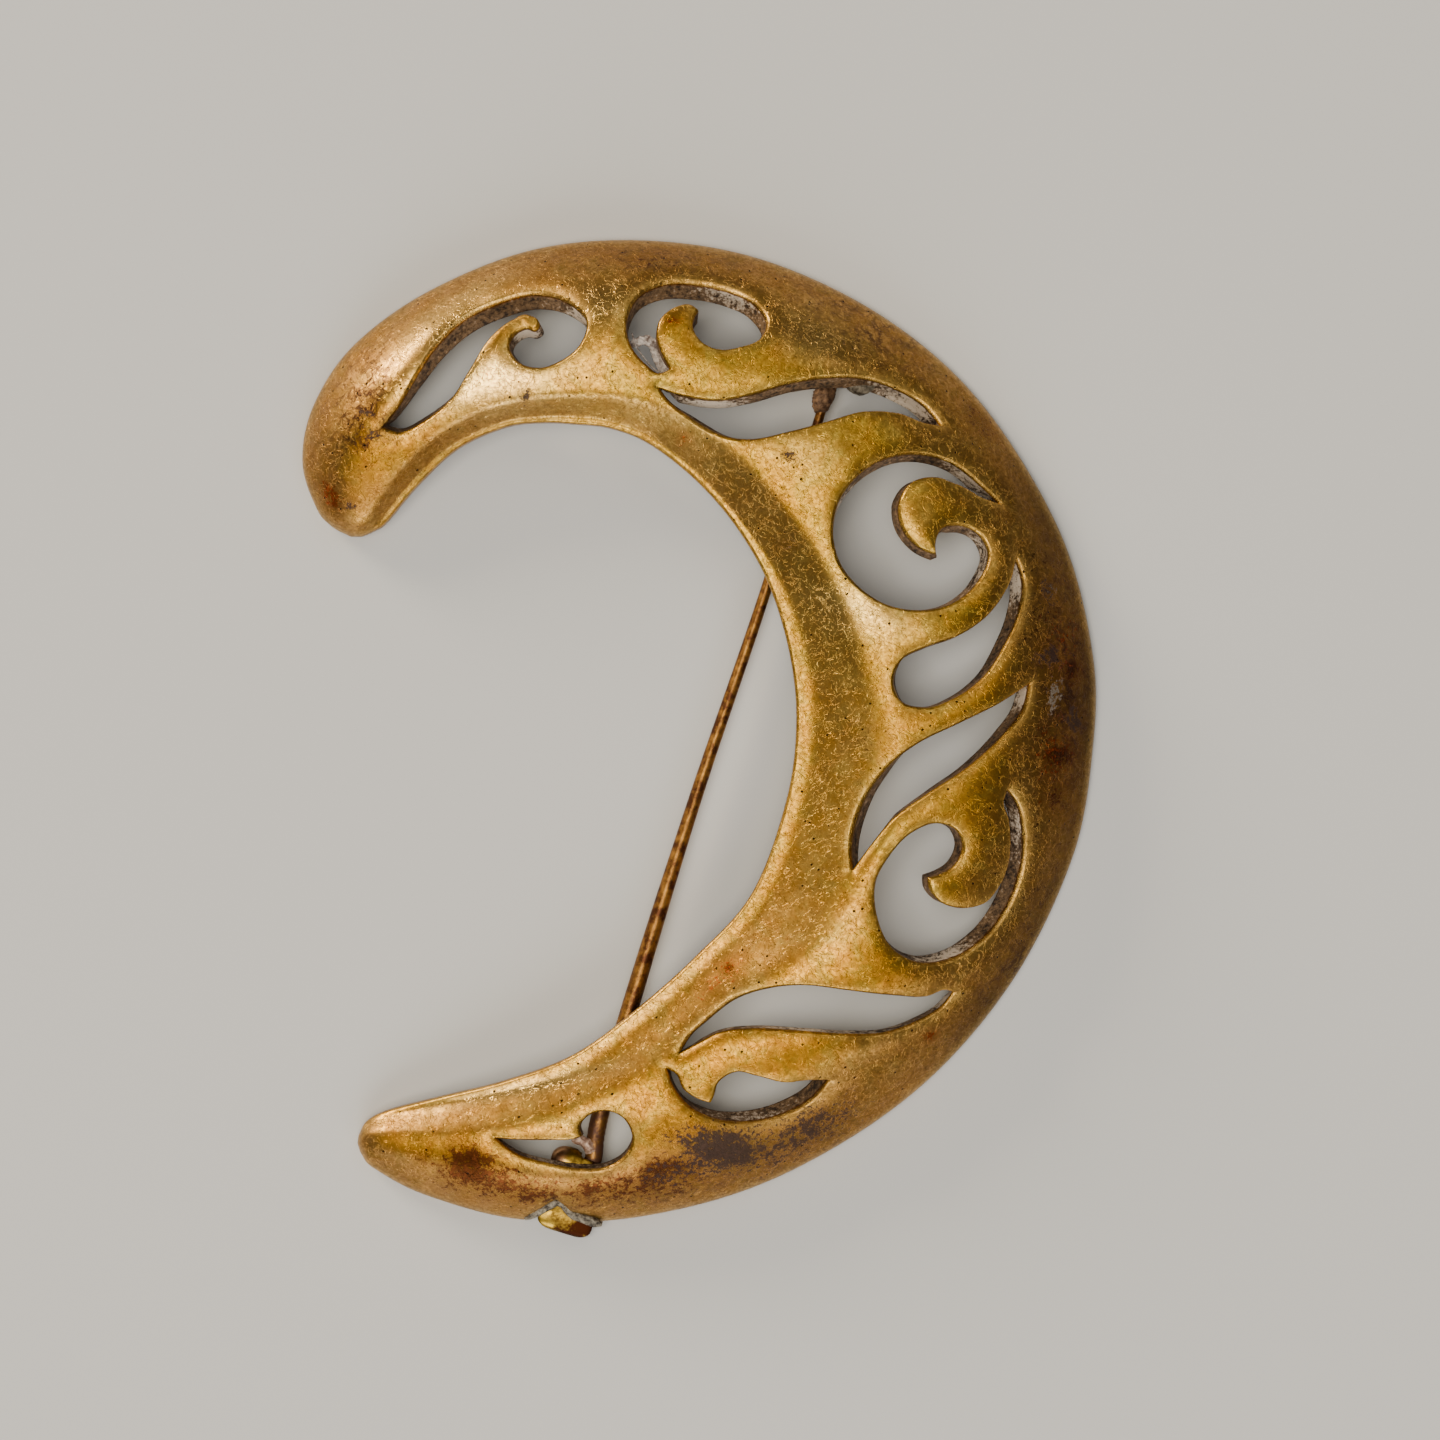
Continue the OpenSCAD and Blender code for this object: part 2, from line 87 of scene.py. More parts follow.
# Ten openings, each a closed outline: the places of its sharp corners, then its points
OPENINGS = {
    "horn_scroll": ([0],
        [[-22.1, 21.8], [-21.1, 23.1], [-20, 25.1], [-18.3, 27.9], [-16.3, 29.8], [-13.9, 30.9],
         [-11.3, 31.4], [-9.1, 30.7], [-7.8, 29.2], [-8.3, 27.5], [-9.6, 26.4], [-11.1, 25.9],
         [-12.5, 26.3], [-13.2, 27.6], [-12.7, 28.5], [-12, 28.8], [-11.4, 28.6], [-11.1, 28.9],
         [-11.2, 29.4], [-12, 29.8], [-13.2, 29.3], [-14.6, 28.1], [-16, 25.8], [-17.3, 23.7],
         [-19.1, 22.2], [-21, 21.4]]),
    "arch_scroll": ([14, 20],
        [[-5, 28.6], [-4.8, 29.9], [-4.1, 31.2], [-2.5, 32.1], [-0.2, 32.2], [2.2, 31.7],
         [4.1, 30.7], [4.9, 29.3], [4.4, 28.1], [3.1, 27.5], [1.3, 27.3], [0.2, 27.9], [-0.3, 28.8],
         [-0.1, 29.8], [0.1, 30.1], [-0.5, 30.5], [-1.6, 30.3], [-2.7, 29.3], [-2.9, 28.1],
         [-2.6, 27], [-2, 25.8], [-2.7, 25.5], [-3.7, 26.2], [-4.6, 27.3]]),
    "upper_wave": ([0, 9],
        [[-2.7, 24.4], [-1.1, 23.9], [1.3, 23.6], [3.6, 24], [6.4, 24.9], [9.2, 25.4], [11.8, 25.4],
         [14.1, 24.7], [16.1, 23.5], [17.2, 22.1], [15.8, 22.3], [14.1, 22.9], [11.8, 23], [9, 22.2],
         [6.1, 21.4], [3.6, 20.9], [1.1, 21.3], [-0.9, 22.5], [-2.2, 23.7]]),
    "big_scroll": ([0, 19],
        [[21.4, 16.6], [20, 17.9], [18, 19.4], [15.4, 20], [13.1, 19.6], [11.2, 18.4], [9.8, 16.5],
         [9.4, 14.2], [9.9, 12.2], [11.3, 10.5], [13.1, 9.4], [15.2, 9], [17.6, 9.4], [19.6, 10.9],
         [20.5, 13], [19.7, 14.5], [18.3, 15], [17.1, 14.7], [16.7, 13.9], [16.7, 12.9],
         [15.3, 13.5], [14.2, 14.9], [14.1, 16.6], [14.9, 17.9], [16.5, 18.4], [18.3, 17.9],
         [20.1, 17]]),
    "broad_leaf": ([0],
        [[22.5, 12.7], [23, 11.3], [22.7, 9], [21.6, 6.6], [20.1, 4.4], [18, 2.9], [15.7, 2.2],
         [14.1, 2.7], [13.6, 3.9], [14.2, 5.5], [15.9, 6.4], [18.2, 7.2], [20.3, 8.6],
         [21.8, 10.6]]),
    "long_leaf": ([0, 7],
        [[23.4, 3.9], [23, 2.2], [21.6, 0.4], [19, -1.9], [16, -3.8], [13.5, -5.6], [11.9, -7.4],
         [10.7, -9], [10.6, -7.1], [11.2, -4.8], [12.9, -2.2], [15.2, -0.4], [18.3, 1.1],
         [21.2, 2.5]]),
    "spiral": ([0, 18],
        [[21.8, -3.6], [22.5, -4.5], [23, -6.4], [23, -8.6], [22.1, -11.6], [20.4, -14],
         [18, -15.5], [15.5, -15.7], [13.6, -14.6], [12.5, -12.3], [12.4, -10], [13.4, -8.1],
         [15, -6.5], [16.8, -5.9], [18.1, -6.4], [18.6, -7.6], [18, -8.9], [16.9, -9.5],
         [16.1, -9.7], [16.2, -10.4], [17, -11.4], [18.7, -11.9], [20.3, -11.5], [21.4, -10.1],
         [22, -8], [21.9, -5.7], [21.5, -4.3]]),
    "lower_wave": ([0, 10],
        [[-1.3, -21.8], [-0.6, -20.6], [0.6, -19.5], [2.6, -18], [5, -17.3], [7.5, -17.2],
         [10.6, -17.6], [13.8, -18], [16.2, -18.1], [17.4, -17.7], [18.1, -17.9], [17.4, -18.8],
         [15.4, -20], [13.1, -20.7], [10.3, -20.7], [7.1, -20.4], [4, -20.2], [1.5, -20.4],
         [-0.2, -21.2]]),
    "comma": ([0, 4, 11],
        [[-2.2, -23], [-1.5, -23.5], [-1.1, -24.4], [-0.2, -25.1], [0.9, -25.5], [1.1, -25.1],
         [1.4, -24.1], [2.7, -23.3], [4.1, -23.6], [6.1, -24.1], [7.8, -24], [9.2, -24],
         [8.2, -25.3], [6.1, -26.5], [3.6, -27], [1.2, -26.7], [-0.7, -25.6], [-1.8, -24.1]]),
    "hinge_scroll": ([0, 4],
        [[-14.2, -28], [-12.5, -28.1], [-10.4, -28.1], [-8.6, -28], [-8.1, -27.8], [-8.3, -27.2],
         [-7.8, -26.4], [-6.7, -26], [-5.3, -26.5], [-4.6, -28.1], [-5.1, -29.3], [-6.5, -30.2],
         [-8.3, -30.3], [-10.4, -29.9], [-12.8, -29.1]])}
# Ragged notch in the lower rim, where the hinge plate shows
NOTCH = np.array([[-7.0, -34.25], [-7.9, -33.75], [-8.9, -33.4], [-9.5, -32.75],
                  [-10.0, -32.4], [-10.6, -32.75], [-11.2, -33.15], [-11.9, -33.7],
                  [-12.3, -34.0]])


def through(rows, s):
    """Rows of a table between two whole numbers, by the even cubic through four rows."""
    last = len(rows) - 1
    i = np.clip(np.floor(s).astype(int), 0, last - 1)
    u = (s - i)[:, None]
    b, c = rows[i], rows[i + 1]
    a = np.where((i > 0)[:, None], rows[np.maximum(i - 1, 0)], 2 * b - c)
    d = np.where((i < last - 1)[:, None], rows[np.minimum(i + 2, last)], 2 * c - b)
    return (2 * b + (c - a) * u + (2 * a - 5 * b + 4 * c - d) * u**2
            + (3 * b - a - 3 * c + d) * u**3) / 2


def unit(v):
    """Vectors, made one long."""
    return v / np.linalg.norm(v, axis=1)[:, None]


def dome(s, t):
    """Point of the face at section s and share t across it. Inside the crest: a level
    lip, a steep flank and a gentle rise, joined by a soft minimum of the two slopes.
    Outside it, the height falls with a power of the way from the crest."""
    row = through(SECTIONS, s)
    across = np.linalg.norm(row[:, 2:4] - row[:, 0:2], axis=1)
    d, crest_d = t * across, CREST_AT * across
    flank, lip = np.minimum(row[:, 6], 0.8 * crest_d), np.minimum(row[:, 7], 0.2 * crest_d)
    turn = LIP_TURN + WIDE_LIP_TURN * np.maximum(lip - 0.5, 0)**2
    ramp = (np.sqrt((d - lip)**2 + turn) + d - lip) / 2
    steep = FLANK_SHARE * ramp / (flank - lip)
    v = (d - flank) / (crest_d - flank)
    v = np.minimum((v + np.sqrt(v * v + RISE_TURN)) / 2, 1)
    gentle = FLANK_SHARE + (1 - FLANK_SHARE) * (2 * v - v * v)
    rise = -FLANK_TURN * np.logaddexp(-steep / FLANK_TURN, -gentle / FLANK_TURN)
    inner_z = row[:, 5] + (row[:, 4] - row[:, 5]) * rise
    f = np.clip((t - CREST_AT) / (1 - CREST_AT), 0, 1)
    outer_z = RIM_H + (row[:, 4] - RIM_H) * (1 - f**OUTER_POWER)
    z = np.where(t < CREST_AT, inner_z, outer_z)
    xy = row[:, 0:2] + (row[:, 2:4] - row[:, 0:2]) * t[:, None]
    return np.column_stack([xy, z])


def dome_normal(s, t):
    """Unit normal of the face, from steps of the dome along s and t."""
    e = 1e-3
    s0, s1 = np.clip(s - e, 0, LAST), np.clip(s + e, 0, LAST)
    along = dome(s1, t) - dome(s0, t)
    across = dome(s, np.minimum(t + e, 1)) - dome(s, np.maximum(t - e, 0))
    n = np.cross(across, along)
    return unit(n * np.sign(n[:, 2:3] + 1e-12))


def place_on_dome(xy):
    """Section s and share t of points seen from above: the nearest of many sections,
    then halving steps until the point lies on its section's line."""
    coarse = np.arange(0, LAST + 1e-9, 0.25)
    row = through(SECTIONS, coarse)
    best, gap = np.zeros(len(xy)), np.full(len(xy), 1e9)
    for s, r in zip(coarse, row):
        run = r[2:4] - r[0:2]
        t = np.clip((xy - r[0:2]) @ run / (run @ run), 0, 1)
        d = np.linalg.norm(xy - r[0:2] - t[:, None] * run, axis=1)
        best, gap = np.where(d < gap, s, best), np.minimum(d, gap)

    def side(s):
        r = through(SECTIONS, s)
        run, p = r[:, 2:4] - r[:, 0:2], xy - r[:, 0:2]
        return run[:, 0] * p[:, 1] - run[:, 1] * p[:, 0]
    low, high = np.clip(best - 0.3, 0, LAST), np.clip(best + 0.3, 0, LAST)
    at_low = side(low)
    for _ in range(HALVINGS):
        mid = (low + high) / 2
        same = side(mid) * at_low > 0
        low, high = np.where(same, mid, low), np.where(same, high, mid)
    s = (low + high) / 2
    r = through(SECTIONS, s)
    run = r[:, 2:4] - r[:, 0:2]
    t = ((xy - r[:, 0:2]) * run).sum(1) / (run * run).sum(1)
    return s, np.clip(t, 0, 1)


def smooth_outline(sharp_at, table, step):
    """Cubic pieces through an outline's points, free to turn at its corners, cut into
    even steps. Returns the points and the indices of the corners."""
    xy = np.array(table)
    sharp = np.isin(np.arange(len(xy)), sharp_at)
    before, after = xy - np.roll(xy, 1, 0), np.roll(xy, -1, 0) - xy
    lb, la = np.linalg.norm(before, axis=1)[:, None], np.linalg.norm(after, axis=1)[:, None]
    head = (before * la / lb + after * lb / la) / (la + lb)
    chord = after / la
    nxt = np.roll(np.arange(len(xy)), -1)
    head_next, sharp_next = head[nxt], sharp[nxt]
    both = (sharp & sharp_next)[:, None]
    start = np.where(sharp[:, None], np.where(both, chord, 1.5 * chord - head_next / 2), head)
    end = np.where(sharp_next[:, None], np.where(both, chord, 1.5 * chord - head / 2), head_next)
    points, corners = [], []
    for i in range(len(xy)):
        if sharp[i]:
            corners.append(sum(len(q) for q in points))
        u = np.linspace(0, 1, max(2, int(np.ceil(la[i, 0] / step))) + 1)[:-1, None]
        points.append(xy[i] * (2 * u**3 - 3 * u**2 + 1) + start[i] * la[i] * (u**3 - 2 * u**2 + u)
                      + xy[nxt[i]] * (3 * u**2 - 2 * u**3) + end[i] * la[i] * (u**3 - u**2))
    return np.concatenate(points), corners


def turned(outline, anticlockwise):
    """The outline, run the way asked."""
    x, y = outline[:, 0], outline[:, 1]
    area = (x * np.roll(y, -1) - y * np.roll(x, -1)).sum()
    return outline if (area > 0) == anticlockwise else outline[::-1]


def even_steps(line, step):
    """An open polyline cut again into even steps."""
    seg = np.linalg.norm(np.diff(line, axis=0), axis=1)
    way = np.concatenate([[0], np.cumsum(seg)])
    at = np.linspace(0, way[-1], int(np.ceil(way[-1] / step)) + 1)
    return np.column_stack([np.interp(at, way, line[:, k]) for k in (0, 1)])


# Pierced face
# The openings were sawn or cast through the dome, square to its face, and their edges
# rubbed round. The casting is one solid: face, walls of the openings, rim and back.
STEP = 0.18            # along the outlines
NET, BACK_NET = 0.3, 0.6           # spacing of the points between them, front and back
REACH = 3.0            # distances beyond this aren't worked out
CLEARANCE = 0.93       # share of its distance that a point keeps from the other outlines
FILLET, BACK_FILLET = 0.20, 0.2    # rounding of the openings' edges, front and back
EDGE_FILLET = 0.38     # rounding of the outer rim
INNER_FILLET = 0.2     # rounding of the inner edge
SHOULDER, SHOULDER_W = 0.19, 1.3   # soft fall of the face towards an opening
SHOULDER_TURN = 0.09   # more of it on an opening's outer side, less on its inner one
WALL_STOPS = (0.3, 0.62, 1.0)      # shares of a wall's depth where it has points
# How far each opening narrows towards the back, on the sides that face the brooch's
# middle, because the patterns were drawn out slantwise, and how much of the face's lean
# its walls take
WALL_SHAPE = {"horn_scroll": (0.14, 1.0), "arch_scroll": (0.12, 1.0), "upper_wave": (0.5, 0.5),
              "big_scroll": (0.4, 0.4), "broad_leaf": (0.12, 1.0), "long_leaf": (0.09, 1.0),
              "spiral": (0.12, 1.0), "lower_wave": (0.12, 0.3), "comma": (0.1, 1.0),
              "hinge_scroll": (0.04, 0.45)}
MIDDLE = np.array([1.5, 1.3])
ROUND = 1 - np.cos(np.radians([22.5, 45, 67.5, 90]))


def sag(d, r):
    """Depth of a quarter-round edge of radius r at distance d from the wall."""
    return r - np.sqrt(np.maximum(r * r - np.maximum(r - d, 0) ** 2, 0))


def inside(points, polygon):
    """Whether each point is in the polygon, by counting the edges to its right."""
    a, b = polygon, np.roll(polygon, -1, 0)
    x, y = points[:, 0:1], points[:, 1:2]
    passes = (a[:, 1] > y) != (b[:, 1] > y)
    cut = a[:, 0] + (y - a[:, 1]) * (b[:, 0] - a[:, 0]) / (b[:, 1] - a[:, 1] + 1e-12)
    return ((passes & (x < cut)).sum(1) % 2) == 1


def distance(points, a, reach):
    """Distance from each point to a closed outline a, no more than reach."""
    run = np.roll(a, -1, 0) - a
    length = (run * run).sum(1) + 1e-12
    d = np.full(len(points), float(reach))
    near = ((points > a.min(0) - reach) & (points < a.max(0) + reach)).all(1)
    for part in np.array_split(np.nonzero(near)[0], max(1, near.sum() // 2000)):
        p = points[part][:, None, :] - a[None]
        u = np.clip((p * run).sum(2) / length, 0, 1)
        gap = p - u[..., None] * run
        d[part] = np.minimum(d[part], np.sqrt((gap * gap).sum(2).min(1)))
    return d


def to_nearest(points, outlines):
    """Distance from each point to the nearest of the outlines."""
    return np.min([distance(points, o, REACH) for o, _ in outlines], axis=0)


def offset_points(outline, corners, d):
    """Points at distance d from an outline on its right side: one for each straight
    piece, and an arc round each corner."""
    run = np.roll(outline, -1, 0) - outline
    right = unit(np.column_stack([run[:, 1], -run[:, 0]]))
    middle = (outline + np.roll(outline, -1, 0)) / 2 + right * d
    arcs = []
    for c in corners:
        n0, n1 = right[c - 1], right[c]
        turn = np.arctan2(n0[0] * n1[1] - n0[1] * n1[0], n0 @ n1)
        a = np.arctan2(n0[1], n0[0]) + turn * np.linspace(0, 1, 7)
        arcs.append(outline[c] + d * np.column_stack([np.cos(a), np.sin(a)]))
    return np.concatenate([middle] + arcs)


fine = through(SECTIONS, np.linspace(0, LAST, 1200))
inner_line, outer_line = even_steps(fine[:, 0:2], STEP), even_steps(fine[:, 2:4], STEP)
notched = ((outer_line[:, 0] > NOTCH[-1, 0]) & (outer_line[:, 0] < NOTCH[0, 0])
           & (outer_line[:, 1] < -30))
first, last = np.nonzero(notched)[0][[0, -1]]
outer_line = np.concatenate([outer_line[:first], even_steps(NOTCH, STEP), outer_line[last + 1:]])
tips = [even_steps(np.array([a[k], b[k]]), STEP)[1:-1]
        for a, b, k in ((outer_line, inner_line, -1), (inner_line, outer_line, 0))]
rim = turned(np.concatenate([outer_line, tips[0], inner_line[::-1], tips[1]]), True)
holes = []
for sharp_at, table in OPENINGS.values():
    points, corners = smooth_outline(sharp_at, table, STEP)
    if turned(points, False) is not points:
        points = points[::-1]
        corners = [len(points) - 1 - c for c in corners]
    holes.append((points, corners))
# metal lies on the left of the rim's outline and on the left of each opening's
rims = [(rim, [])] + holes


def spans(outlines):
    """Where each outline's points are when all of them are put end to end."""
    ends = np.cumsum([len(o) for o, _ in outlines])
    return [slice(end - len(o), end) for end, (o, _) in zip(ends, outlines)]


def metal_points(outlines, rings, spacing, clear):
    """Points of the metal seen from above: rings beside each outline, and an even
    triangular net between them."""
    made, known = [], []
    for k, (outline, corners) in enumerate(outlines):
        back = outline[::-1]
        back_corners = [len(outline) - 1 - c for c in corners]
        for d in rings[0] if k == 0 else rings[1]:
            made.append(offset_points(back, back_corners, d))
            known.append(np.full(len(made[-1]), d))
    low, high = outlines[0][0].min(0), outlines[0][0].max(0)
    gx, gy = np.meshgrid(np.arange(low[0], high[0], spacing),
                         np.arange(low[1], high[1], spacing * 0.866))
    gx = gx + (np.arange(gx.shape[0]) % 2)[:, None] * spacing / 2
    made.append(np.column_stack([gx.ravel(), gy.ravel()]))
    known.append(np.full(len(made[-1]), clear))
    points, known = np.concatenate(made), np.concatenate(known)
    keep = inside_metal(points, outlines)
    points, known = points[keep], known[keep]
    return points[to_nearest(points, outlines) > known * CLEARANCE - 1e-3]


def inside_metal(points, outlines):
    """Whether each point is within the first outline and outside the others."""
    keep = np.zeros(len(points), bool)
    for part in np.array_split(np.arange(len(points)), max(1, len(points) // 3000)):
        keep[part] = inside(points[part], outlines[0][0])
    for outline, _ in outlines[1:]:
        near = keep & ((points > outline.min(0)) & (points < outline.max(0))).all(1)
        idx = np.nonzero(near)[0]
        for part in np.array_split(idx, max(1, len(idx) // 3000)):
            keep[part] &= ~inside(points[part], outline)
    return keep


def sheet_mesh(outlines, extra):
    """Triangles over the metal between the outlines, through the extra points. The
    outlines' own points come first."""
    edge = np.concatenate([o for o, _ in outlines])
    points = np.concatenate([edge, extra])
    rounds = [np.arange(span.start, span.stop) for span in spans(outlines)]
    links = np.concatenate([np.column_stack([i, np.roll(i, -1)]) for i in rounds])
    _, _, faces, origin, _, _ = delaunay_2d_cdt([Vector(p) for p in points.tolist()],
                                                links.tolist(), [], 0, 1e-7, True)
    tri = np.array([o[0] for o in origin])[np.array(faces)]
    on_edge = (tri < len(edge)).all(1)
    good = np.ones(len(tri), bool)
    good[on_edge] = inside_metal(points[tri[on_edge]].mean(1), outlines)
    tri = tri[good]
    p = points[tri]
    area = ((p[:, 1, 0] - p[:, 0, 0]) * (p[:, 2, 1] - p[:, 0, 1])
            - (p[:, 1, 1] - p[:, 0, 1]) * (p[:, 2, 0] - p[:, 0, 0]))
    tri[area < 0] = tri[area < 0][:, ::-1]
    return points, tri[np.abs(area) > 1e-10]


def unevenness(x, y):
    """Slow waves of a hand-worked surface, in millimetres."""
    return (0.020 * np.sin(0.9 * x + 0.4 * y + 1.0) * np.sin(0.7 * y - 0.3 * x)
            + 0.014 * np.sin(1.7 * y + 0.8 * x + 2.0) * np.sin(1.5 * x - 0.6 * y)
            + 0.006 * np.sin(3.1 * x + 1.2 * y) * np.sin(2.7 * y - 1.9 * x + 0.5))


def face(xy):
    """Position and directions of the rubbed face over points seen from above."""
    s, t = place_on_dome(xy)
    base, normal = dome(s, t), dome_normal(s, t)
    d_hole, d_rim = to_nearest(xy, holes), distance(xy, rim, REACH)
    # 1 on an opening's outer side, -1 on its inner one, from a small step outwards
    nudge = 0.03
    beyond = to_nearest(xy + nudge * unit(xy - MIDDLE), holes)
    outer_side = np.clip((beyond - d_hole) / nudge, -1, 1)
    soft = (SHOULDER + SHOULDER_TURN * outer_side) * np.clip(1 - d_hole / SHOULDER_W, 0, 1) ** 2
    p = base - normal * (sag(d_hole, FILLET) + soft)[:, None]
    r = INNER_FILLET + (EDGE_FILLET - INNER_FILLET) * np.clip((t - 0.2) / 0.3, 0, 1)
    p[:, 2] += unevenness(xy[:, 0], xy[:, 1]) - sag(d_rim, r)
    return p, base, normal, d_hole, d_rim, s, t


beside_rim = [*(EDGE_FILLET * ROUND), 0.5, 0.64]
beside_holes = [*(FILLET * ROUND), 0.52]
extra = metal_points(rims, (beside_rim, beside_holes), NET, 0.66)
flat, face_tris = sheet_mesh(rims, extra)
top, base, normal, d_hole, d_rim, s_at, t_at = face(flat)

# Walls and back: an opening's wall runs straight in from the face, so its far edge is
# shifted under the dome; the rim's and the inner edge's walls are upright
rim_n = len(rim)
edge_n = sum(len(o) for o, _ in rims)
UP = np.array([0, 0, 1.0])
square = normal[:edge_n].copy()
square[:rim_n] = UP
for span, (_, lean) in zip(spans(rims)[1:], WALL_SHAPE.values()):
    square[span] = unit(lean * square[span] + (1 - lean) * UP)
under = np.maximum(0, base[:edge_n, 2] - WALL / normal[:edge_n, 2])
depth = np.full(edge_n, WALL)
depth[:rim_n] = base[:rim_n, 2] - under[:rim_n]
depth[rim_n:] = np.minimum(WALL, base[rim_n:edge_n, 2] / square[rim_n:, 2])
first_depth = (base[:edge_n, 2] - top[:edge_n, 2]) / square[:, 2]
# the draft: how far an opening's outline has moved into it at the back, less where the
# opening is narrow
into = np.zeros((edge_n, 3))
for (o, _), span, (draft, _) in zip(holes, spans(rims)[1:], WALL_SHAPE.values()):
    run = np.roll(o, -1, 0) - np.roll(o, 1, 0)
    away = unit(np.column_stack([run[:, 1], -run[:, 0]]))
    room = np.min([distance(o + d * away, o, 1.0) / d for d in (0.06, 0.12, 0.24, 0.45)], axis=0)
    facing = -(unit(o - MIDDLE) * away).sum(1)
    into[span, :2] = away * (draft * room * np.clip(0.5 + facing, 0, 1))[:, None]
walls = []
for share in WALL_STOPS:
    deep = first_depth + (depth - BACK_FILLET - first_depth) * share
    walls.append(base[:edge_n] - square * deep[:, None] + into * share)
foot = base[:edge_n] - square * depth[:, None] + into
back_outlines = [(foot[span, :2], corners) for span, (_, corners) in zip(spans(rims), rims)]
back_extra = metal_points(back_outlines, ([0.4], [0.4]), BACK_NET, 0.5)
back_flat, back_tris = sheet_mesh(back_outlines, back_extra)
bs, bt = place_on_dome(back_flat)
back_top, back_normal = dome(bs, bt), dome_normal(bs, bt)
back_z = back_top[:, 2] - WALL / back_normal[:, 2]
back_z += 2 * unevenness(back_flat[:, 1], back_flat[:, 0]) * (back_top[:, 2] > 3)
back = np.column_stack([back_flat, np.maximum(0, back_z)])


def ring_band(a, b, outlines):
    """Triangles between two runs of outline points, given where each run starts."""
    out = []
    for span in spans(outlines):
        i = np.arange(span.start, span.stop)
        j = np.roll(i, -1)
        out += [np.column_stack([a + i, a + j, b + i]), np.column_stack([a + j, b + j, b + i])]
    return np.concatenate(out)


points = np.concatenate([top] + walls + [back])
starts = [0] + [len(top) + k * edge_n for k in range(len(walls) + 1)]
bands = [ring_band(starts[k + 1], starts[k], rims) for k in range(len(walls))]
bands.append(ring_band(starts[-1], starts[-2], rims))
tris = np.concatenate([face_tris, np.concatenate(bands), back_tris[:, ::-1] + starts[-1]])


def solid(name, points, faces):
    """A smooth mesh object from points in millimetres and triangles."""
    mesh = bpy.data.meshes.new(name)
    mesh.from_pydata((points * MM).tolist(), [], faces.tolist())
    mesh.polygons.foreach_set("use_smooth", np.ones(len(mesh.polygons), bool))
    mesh.update()
    obj = bpy.data.objects.new(name, mesh)
    bpy.context.scene.collection.objects.link(obj)
    return obj


crescent = solid("crescent_casting", points, tris)


def write_mask(obj, name, values):
    """A number at each point of the mesh, for its material to read."""
    mask = obj.data.attributes.new(name, "FLOAT", "POINT")
    mask.data.foreach_set("value", np.asarray(values, np.float32))


# Where the looks change with the form: the walls, the steep inner flank with its valley, the outer
# flank, slopes of more than 18 degrees, and the edges. The valley's darker tint and the outer
# flank's darker grey-brown are painted shade, and the paler tint on the slopes is painted
# reflection.
count, on_face = len(points), len(top)
row = through(SECTIONS, s_at)
width = np.linalg.norm(row[:, 2:4] - row[:, 0:2], axis=1)
to_inner, to_outer = t_at * width, (1 - t_at) * width
masks = {name: np.zeros(count) for name in ("wall", "painted_valley_shade", "flank", "edge")}
masks["wall"][:edge_n] = 0.5
masks["wall"][starts[1]:] = 1
masks["wall"][starts[1]:starts[-1]].reshape(-1, edge_n)[:, :rim_n] = 0.3
# painted shade: a darker green-brown band down the steep inner flank
masks["painted_valley_shade"][:on_face] = (np.clip((to_inner - row[:, 7] / 2) / (0.3 + row[:, 7]), 0, 1)
                             * np.clip(row[:, 6] + 0.5 - to_inner, 0, 1))
# painted shade: darker, greyer brass down the outer flank towards the rim
masks["flank"][:] = 1
masks["flank"][:on_face] = np.clip(1.25 - to_outer / 2.4, 0, 1)
# painted reflection: paler, greyer brass on slopes of more than 18 degrees
masks["slope"] = np.ones(count)
tilt = np.degrees(np.arccos(np.clip(normal[:, 2], -1, 1)))
masks["slope"][:on_face] = np.clip((tilt - 18) / 14, 0, 1)
masks["edge"][:on_face] = np.exp(-(np.minimum(d_hole, d_rim) / 0.4) ** 2)
